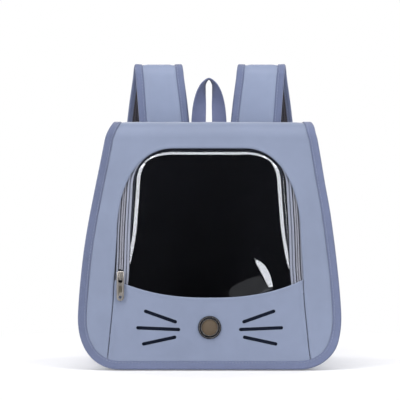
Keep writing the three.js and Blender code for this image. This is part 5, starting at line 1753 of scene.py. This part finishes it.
def box_rows(corner, right, up, out, width, height):
    """Stitch rows of a sewn square with a cross in it."""
    a = np.asarray(corner, float)
    b, c, d = a + width * right, a + width * right + height * up, a + height * up
    rows = [resample([p, q], 2.0) for p, q in ((a, b), (b, c), (c, d), (d, a), (a, c), (b, d))]
    return [(row, np.broadcast_to(out, row.shape)) for row in rows]


# Stage

# The floor's brightness to the camera and to reflections, where it fades, and how much it glows near the bag
FLOOR_SEEN, FLOOR_MIRRORED, FLOOR_FADE, FLOOR_NEAR_GLOW = 0.79, 0.25, (0.20, 0.55), 0.16
CAMERA_LENS, CAMERA_SENSOR, CAMERA_PLACE, CAMERA_DOWN = 167.1, 36.0, (-0.0125, -2.507, 0.250), 0.692
LIGHT_AIM = (0, 0, 0.16)
# Soft lights on both sides: name, setting, azimuth, distance, height, size and roll
PAIRED_LIGHTS = (
    ("side", "side", 51, 1.9, 0.85, (0.85, 1.7), 0),
    ("corner", "key", 47, 1.4, 1.74, (0.4, 0.95), 28),
    ("rear", "rear", 128, 1.9, 1.0, (1.1, 1.3), 0),
)


def build_floor():
    """Pale floor that fades into the white surround away from the bag."""
    fresh()
    bpy.ops.mesh.primitive_circle_add(vertices=96, radius=6.0, fill_type="NGON", location=(0, 0, 0))
    floor = bpy.context.object
    floor.name = floor.data.name = "floor"
    made, tree, shader, tone = toned_finish("floor", 3.0)
    far = put(tree, "ShaderNodeVectorMath", {0: place_on(tree)}, operation="LENGTH").outputs["Value"]
    path = put(tree, "ShaderNodeLightPath").outputs
    pale = tint(tree, tone["Tone"], (0.86, 0.855, 0.88, 1), (0.89, 0.885, 0.905, 1))
    dim = ranged(tree, path["Is Camera Ray"], 0.0, 1.0, 1.0, FLOOR_SEEN)
    seen = put(tree, "ShaderNodeVectorMath", {0: pale, 3: dim}, operation="SCALE")
    tree.links.new(seen.outputs[0], shader.inputs["Base Color"])
    tree.links.new(ranged(tree, tone["Gloss"], 0.3, 0.7, 0.75, 0.9), shader.inputs["Roughness"])
    values(shader, Specular_IOR_Level=0.1)
    strength = ranged(tree, path["Is Glossy Ray"], 0.0, 1.0, 1.0, FLOOR_MIRRORED)
    glow = put(tree, "ShaderNodeEmission", {0: (1, 1, 1, 1), 1: strength})
    near, away = FLOOR_FADE
    fade = {0: far, 1: near, 2: away, 3: FLOOR_NEAR_GLOW, 4: 1.0}
    share = put(tree, "ShaderNodeMapRange", fade, interpolation_type="SMOOTHSTEP").outputs[0]
    two_shaders(tree, share, shader, glow)
    floor.data.materials.append(made)


def soft_light(name, watts, place, size, roll=0.0):
    """A rectangular soft light at a place, aimed at the bag and rolled by an angle."""
    lamp = bpy.data.lights.new(name, "AREA")
    lamp.energy = watts
    lamp.shape, lamp.size, lamp.size_y = "RECTANGLE", *size
    made = bpy.data.objects.new(name, lamp)
    bpy.context.scene.collection.objects.link(made)
    made.location = place
    turn = (Vector(LIGHT_AIM) - Vector(place)).to_track_quat("-Z", "Y").to_matrix()
    made.rotation_euler = (turn @ Matrix.Rotation(math.radians(roll), 3, "Z")).to_euler()
    made.visible_camera = False


def around(azimuth, distance, height):
    """A place round the bag; azimuth 0 is in front of it and 90 on its right."""
    turn = math.radians(azimuth)
    return (distance * math.sin(turn), -distance * math.cos(turn), height)


def build_surround(fill):
    """White for the camera, dim for reflections and an even fill for cloth."""
    world = bpy.data.worlds.new("surround")
    bpy.context.scene.world = world
    world.use_nodes = True
    tree = world.node_tree
    sky = next(n for n in tree.nodes if n.type == "BACKGROUND")
    path = put(tree, "ShaderNodeLightPath").outputs
    soft = ranged(tree, path["Is Diffuse Ray"], 0.0, 1.0, 0.012, fill)
    tree.links.new(ranged(tree, path["Is Camera Ray"], 0.0, 1.0, soft, 1.0), sky.inputs["Strength"])
    sky.inputs["Color"].default_value = (1, 1, 1, 1)


def build_camera():
    camera = bpy.data.objects.new("camera", bpy.data.cameras.new("camera"))
    camera.data.lens, camera.data.sensor_width = CAMERA_LENS, CAMERA_SENSOR
    camera.location = CAMERA_PLACE
    camera.rotation_euler = (math.radians(90 - CAMERA_DOWN), 0, 0)
    bpy.context.scene.collection.objects.link(camera)
    bpy.context.scene.camera = camera


# Steps


def thread_size():
    s = sizes()
    return s.stitch_pitch / MM, s.stitch_length / MM, s.thread / MM


class CARRIER_OT_front_panel(bpy.types.Operator):
    """Makes the front frame and top in one sheet"""

    bl_idname = "carrier.front_panel"
    bl_label = "Front panel"

    def execute(self, context):
        piece = dress(leaned(build_front_panel(sizes().hem_roll / MM)), "fabric", "front_panel")
        return {"FINISHED"}


class CARRIER_OT_lower_panel(bpy.types.Operator):
    """Makes the lower panel with its lip, its slots and its hole"""

    bl_idname = "carrier.lower_panel"
    bl_label = "Lower panel"

    def execute(self, context):
        piece = dress(leaned(build_lower_panel()), "fabric", "lower_panel")
        return {"FINISHED"}


class CARRIER_OT_side_strip(bpy.types.Operator):
    """Makes the sides and the floor in one strip"""

    bl_idname = "carrier.side_strip"
    bl_label = "Sides and floor"

    def execute(self, context):
        piece = dress(leaned(build_gusset()), "fabric", "gusset")
        return {"FINISHED"}


class CARRIER_OT_back_pad(bpy.types.Operator):
    """Makes the padded back by a cloth simulation"""

    bl_idname = "carrier.back_pad"
    bl_label = "Back pad"

    def execute(self, context):
        dress(leaned(build_back_pad(sizes().pad_rise / MM)), "fabric", "back_panel")
        return {"FINISHED"}


class CARRIER_OT_linings(bpy.types.Operator):
    """Makes the dark cloth inside the cabin"""

    bl_idname = "carrier.linings"
    bl_label = "Linings"

    def execute(self, context):
        flats = ((0.195, 0.80), (0.30, 0.30), (0.24, 0.13), (0.21, 0.075))
        nodes = ("gusset_lining", "back_lining", "top_lining", "lower_lining")
        for piece, node, flat in zip(build_linings(), nodes, flats):
            seen = "slot_cloth" if node == "lower_lining" else None
            dress(leaned(piece), "dark_lining", node, finish=seen)
        return {"FINISHED"}


class CARRIER_OT_bindings(bpy.types.Operator):
    """Makes the ribbons over the front and back seams, with their stitches"""

    bl_idname = "carrier.bindings"
    bl_label = "Bindings"

    def execute(self, context):
        rows = []
        for name, node, edge, thickness in (
            ("front_ribbon", "front_binding", front_edge(), PANEL),
            ("back_ribbon", "back_binding", back_edge(), BACK_PAD),
        ):
            ribbon, stitch_rows = build_binding(name, edge, thickness)
            dress(leaned(ribbon), "ribbon", node)
            rows += stitch_rows
        leaned(stitched("binding_thread", rows, thread_size(), "ribbon"))
        return {"FINISHED"}


class CARRIER_OT_zip(bpy.types.Operator):
    """Makes the zip's tape and teeth"""

    bl_idname = "carrier.zip"
    bl_label = "Zip"

    def execute(self, context):
        # The tape's finish is painted dark for the shade between the rolls
        dress(build_zip_tape(), "zip_tape", "zip_tape")
        dress(build_zip_coil(sizes().tooth_pitch / MM), "zip_coil", "zip_coil")
        return {"FINISHED"}


class CARRIER_OT_window(bpy.types.Operator):
    """Makes the clear window and its turned cloth edge"""

    bl_idname = "carrier.window"
    bl_label = "Window"

    def execute(self, context):
        tape, edge = build_zip_rolls()
        dress(tape, "zip_tape", finish="edge_cloth")
        dress(edge, "fabric", "window_border", finish="edge_cloth")
        clear = dress(build_window(), "clear_sheet", "window")
        return {"FINISHED"}


class CARRIER_OT_vent(bpy.types.Operator):
    """Makes the round vent with its ring, rim and mesh"""

    bl_idname = "carrier.vent"
    bl_label = "Vent"

    def execute(self, context):
        ring, rim, line, gauze = build_vent()
        dress(ring, "gunmetal", "vent_ring")
        dress(rim, "nickel")
        dress(line, "nickel")
        dress(gauze, "bronze_mesh", "vent_mesh")
        return {"FINISHED"}


class CARRIER_OT_slider(bpy.types.Operator):
    """Makes the zip's slider and the pull that swings on it"""

    bl_idname = "carrier.slider"
    bl_label = "Slider and pull"

    def execute(self, context):
        slider, shade_block = build_slider()
        dress(slider, "nickel", "zip_slider")
        # The dark block is painted shade behind the pull's eye
        dress(shade_block, "gunmetal")
        pull, pressed = build_pull()
        dress(pull, "nickel", "zip_pull", body=PULL_BODY)
        dress(pressed, "nickel", finish="pressed_nickel", body=PULL_BODY)
        return {"FINISHED"}


class CARRIER_OT_straps(bpy.types.Operator):
    """Makes the two shoulder straps"""

    bl_idname = "carrier.straps"
    bl_label = "Shoulder straps"

    def execute(self, context):
        pad, mesh, (outer, inner), rows = build_strap()
        rows += [(line * OTHER_SIDE, outs * OTHER_SIDE) for line, outs in rows]
        for piece, node, slot, finish_name in (
            (pad, "strap_", "fabric", "strap_cloth"), (mesh, "strap_mesh_", "dark_mesh", None),
            (outer, "strap_binding_outer_", "ribbon", "strap_ribbon"),
            (inner, "strap_binding_inner_", "ribbon", "strap_ribbon"),
        ):
            for one, side in ((piece, "right"), (set_over(mirrored(piece)), "left")):
                dress(one, slot, node + side, finish=finish_name)
        set_over(stitched("strap_thread", rows, thread_size(), "ribbon"))
        return {"FINISHED"}


class CARRIER_OT_low_webbing(bpy.types.Operator):
    """Makes the webbing at the lower ends of the straps, with their adjusters"""

    bl_idname = "carrier.low_webbing"
    bl_label = "Lower webbing and adjusters"

    def execute(self, context):
        tab, web, line = build_low_webbing()
        for piece, node, slot in (
            (tab, "strap_tab_", "webbing"), (web, "lower_webbing_", "webbing"),
            (build_adjuster(), "adjuster_", "blue_plastic"),
        ):
            for one, side in ((piece, "right"), (mirrored(piece), "left")):
                dress(one, slot, node + side)
        foot, along = line[-1], unit(line[-14] - line[-1])
        out = unit(np.cross(LOW_ACROSS, -along))
        out = out if out[1] > 0 else -out
        corner = foot + 2.5 * along - 9.5 * LOW_ACROSS + (WEB_THICK / 2 + 0.05) * out
        rows = box_rows(corner, LOW_ACROSS, along, out, 19, 19)
        rows += [(row * OTHER_SIDE, outs * OTHER_SIDE) for row, outs in rows]
        stitched("low_thread", rows, thread_size(), "webbing")
        return {"FINISHED"}


class CARRIER_OT_handle(bpy.types.Operator):
    """Makes the carrying loop on the top of the back"""

    bl_idname = "carrier.handle"
    bl_label = "Handle"

    def execute(self, context):
        dress(build_handle(), "webbing", "handle")
        rows = []
        for side in (1, -1):
            corner = np.array([side * 14.6 - 7.5, float(back_y(297)) + HANDLE_THICK + 2 * GAP + 0.05, 297])
            up = unit(np.array([0, float(back_y(320) - back_y(297)), 23.0]))
            rows += box_rows(corner, np.array([1.0, 0, 0]), up, BACK_OUT, 15, 20)
        stitched("handle_thread", rows, thread_size(), "webbing")
        return {"FINISHED"}


class CARRIER_OT_stage(bpy.types.Operator):
    """Sets the floor, the soft lights, the surround and the camera"""

    bl_idname = "carrier.stage"
    bl_label = "Stage"

    def execute(self, context):
        light = context.scene.carrier_light
        build_floor()
        for side in (-1, 1):
            for name, power, azimuth, distance, height, size, roll_by in PAIRED_LIGHTS:
                place = around(side * azimuth, distance, height)
                soft_light(f"{name}_{side}", getattr(light, power), place, size, side * roll_by)
        soft_light("top", light.top, (0, -0.72, 1.95), (1.6, 0.8))
        soft_light("behind", light.rear, (-0.3, 1.9, 1.3), (1.4, 1.2))
        build_surround(light.fill)
        build_camera()
        context.scene.view_settings.view_transform = "Standard"
        return {"FINISHED"}


STEPS = (
    CARRIER_OT_stage, CARRIER_OT_front_panel, CARRIER_OT_lower_panel, CARRIER_OT_side_strip,
    CARRIER_OT_back_pad, CARRIER_OT_linings, CARRIER_OT_bindings, CARRIER_OT_zip, CARRIER_OT_window,
    CARRIER_OT_vent, CARRIER_OT_slider, CARRIER_OT_straps, CARRIER_OT_low_webbing, CARRIER_OT_handle,
)


class CARRIER_PT_steps(bpy.types.Panel):
    """Lists the steps that build the carrier, with its sizes, colours and light"""

    bl_label = "Pet Carrier Backpack"
    bl_idname = "CARRIER_PT_steps"
    bl_space_type = "VIEW_3D"
    bl_region_type = "UI"
    bl_category = "Carrier"

    def draw(self, context):
        for step in STEPS:
            self.layout.operator(step.bl_idname)
        for key in SETTINGS:
            settings = getattr(context.scene, key)
            box = self.layout.box()
            for value in settings.__annotations__:
                box.prop(settings, value)


SETTINGS = {"carrier_sizes": CarrierSizes, "carrier_colours": CarrierColours, "carrier_light": CarrierLight}
CLASSES = (*SETTINGS.values(), *STEPS, CARRIER_PT_steps)


def register():
    for one in CLASSES:
        bpy.utils.register_class(one)
    for key, kind in SETTINGS.items():
        setattr(bpy.types.Scene, key, bpy.props.PointerProperty(type=kind))


def unregister():
    for key in SETTINGS:
        delattr(bpy.types.Scene, key)
    for one in reversed(CLASSES):
        bpy.utils.unregister_class(one)


def main():
    register()
    bpy.ops.carrier.stage()
    bpy.ops.carrier.front_panel()
    bpy.ops.carrier.lower_panel()
    bpy.ops.carrier.side_strip()
    bpy.ops.carrier.back_pad()
    bpy.ops.carrier.linings()
    bpy.ops.carrier.bindings()
    bpy.ops.carrier.zip()
    bpy.ops.carrier.window()
    bpy.ops.carrier.vent()
    bpy.ops.carrier.slider()
    bpy.ops.carrier.straps()
    bpy.ops.carrier.low_webbing()
    bpy.ops.carrier.handle()


if __name__ == "__main__":
    main()
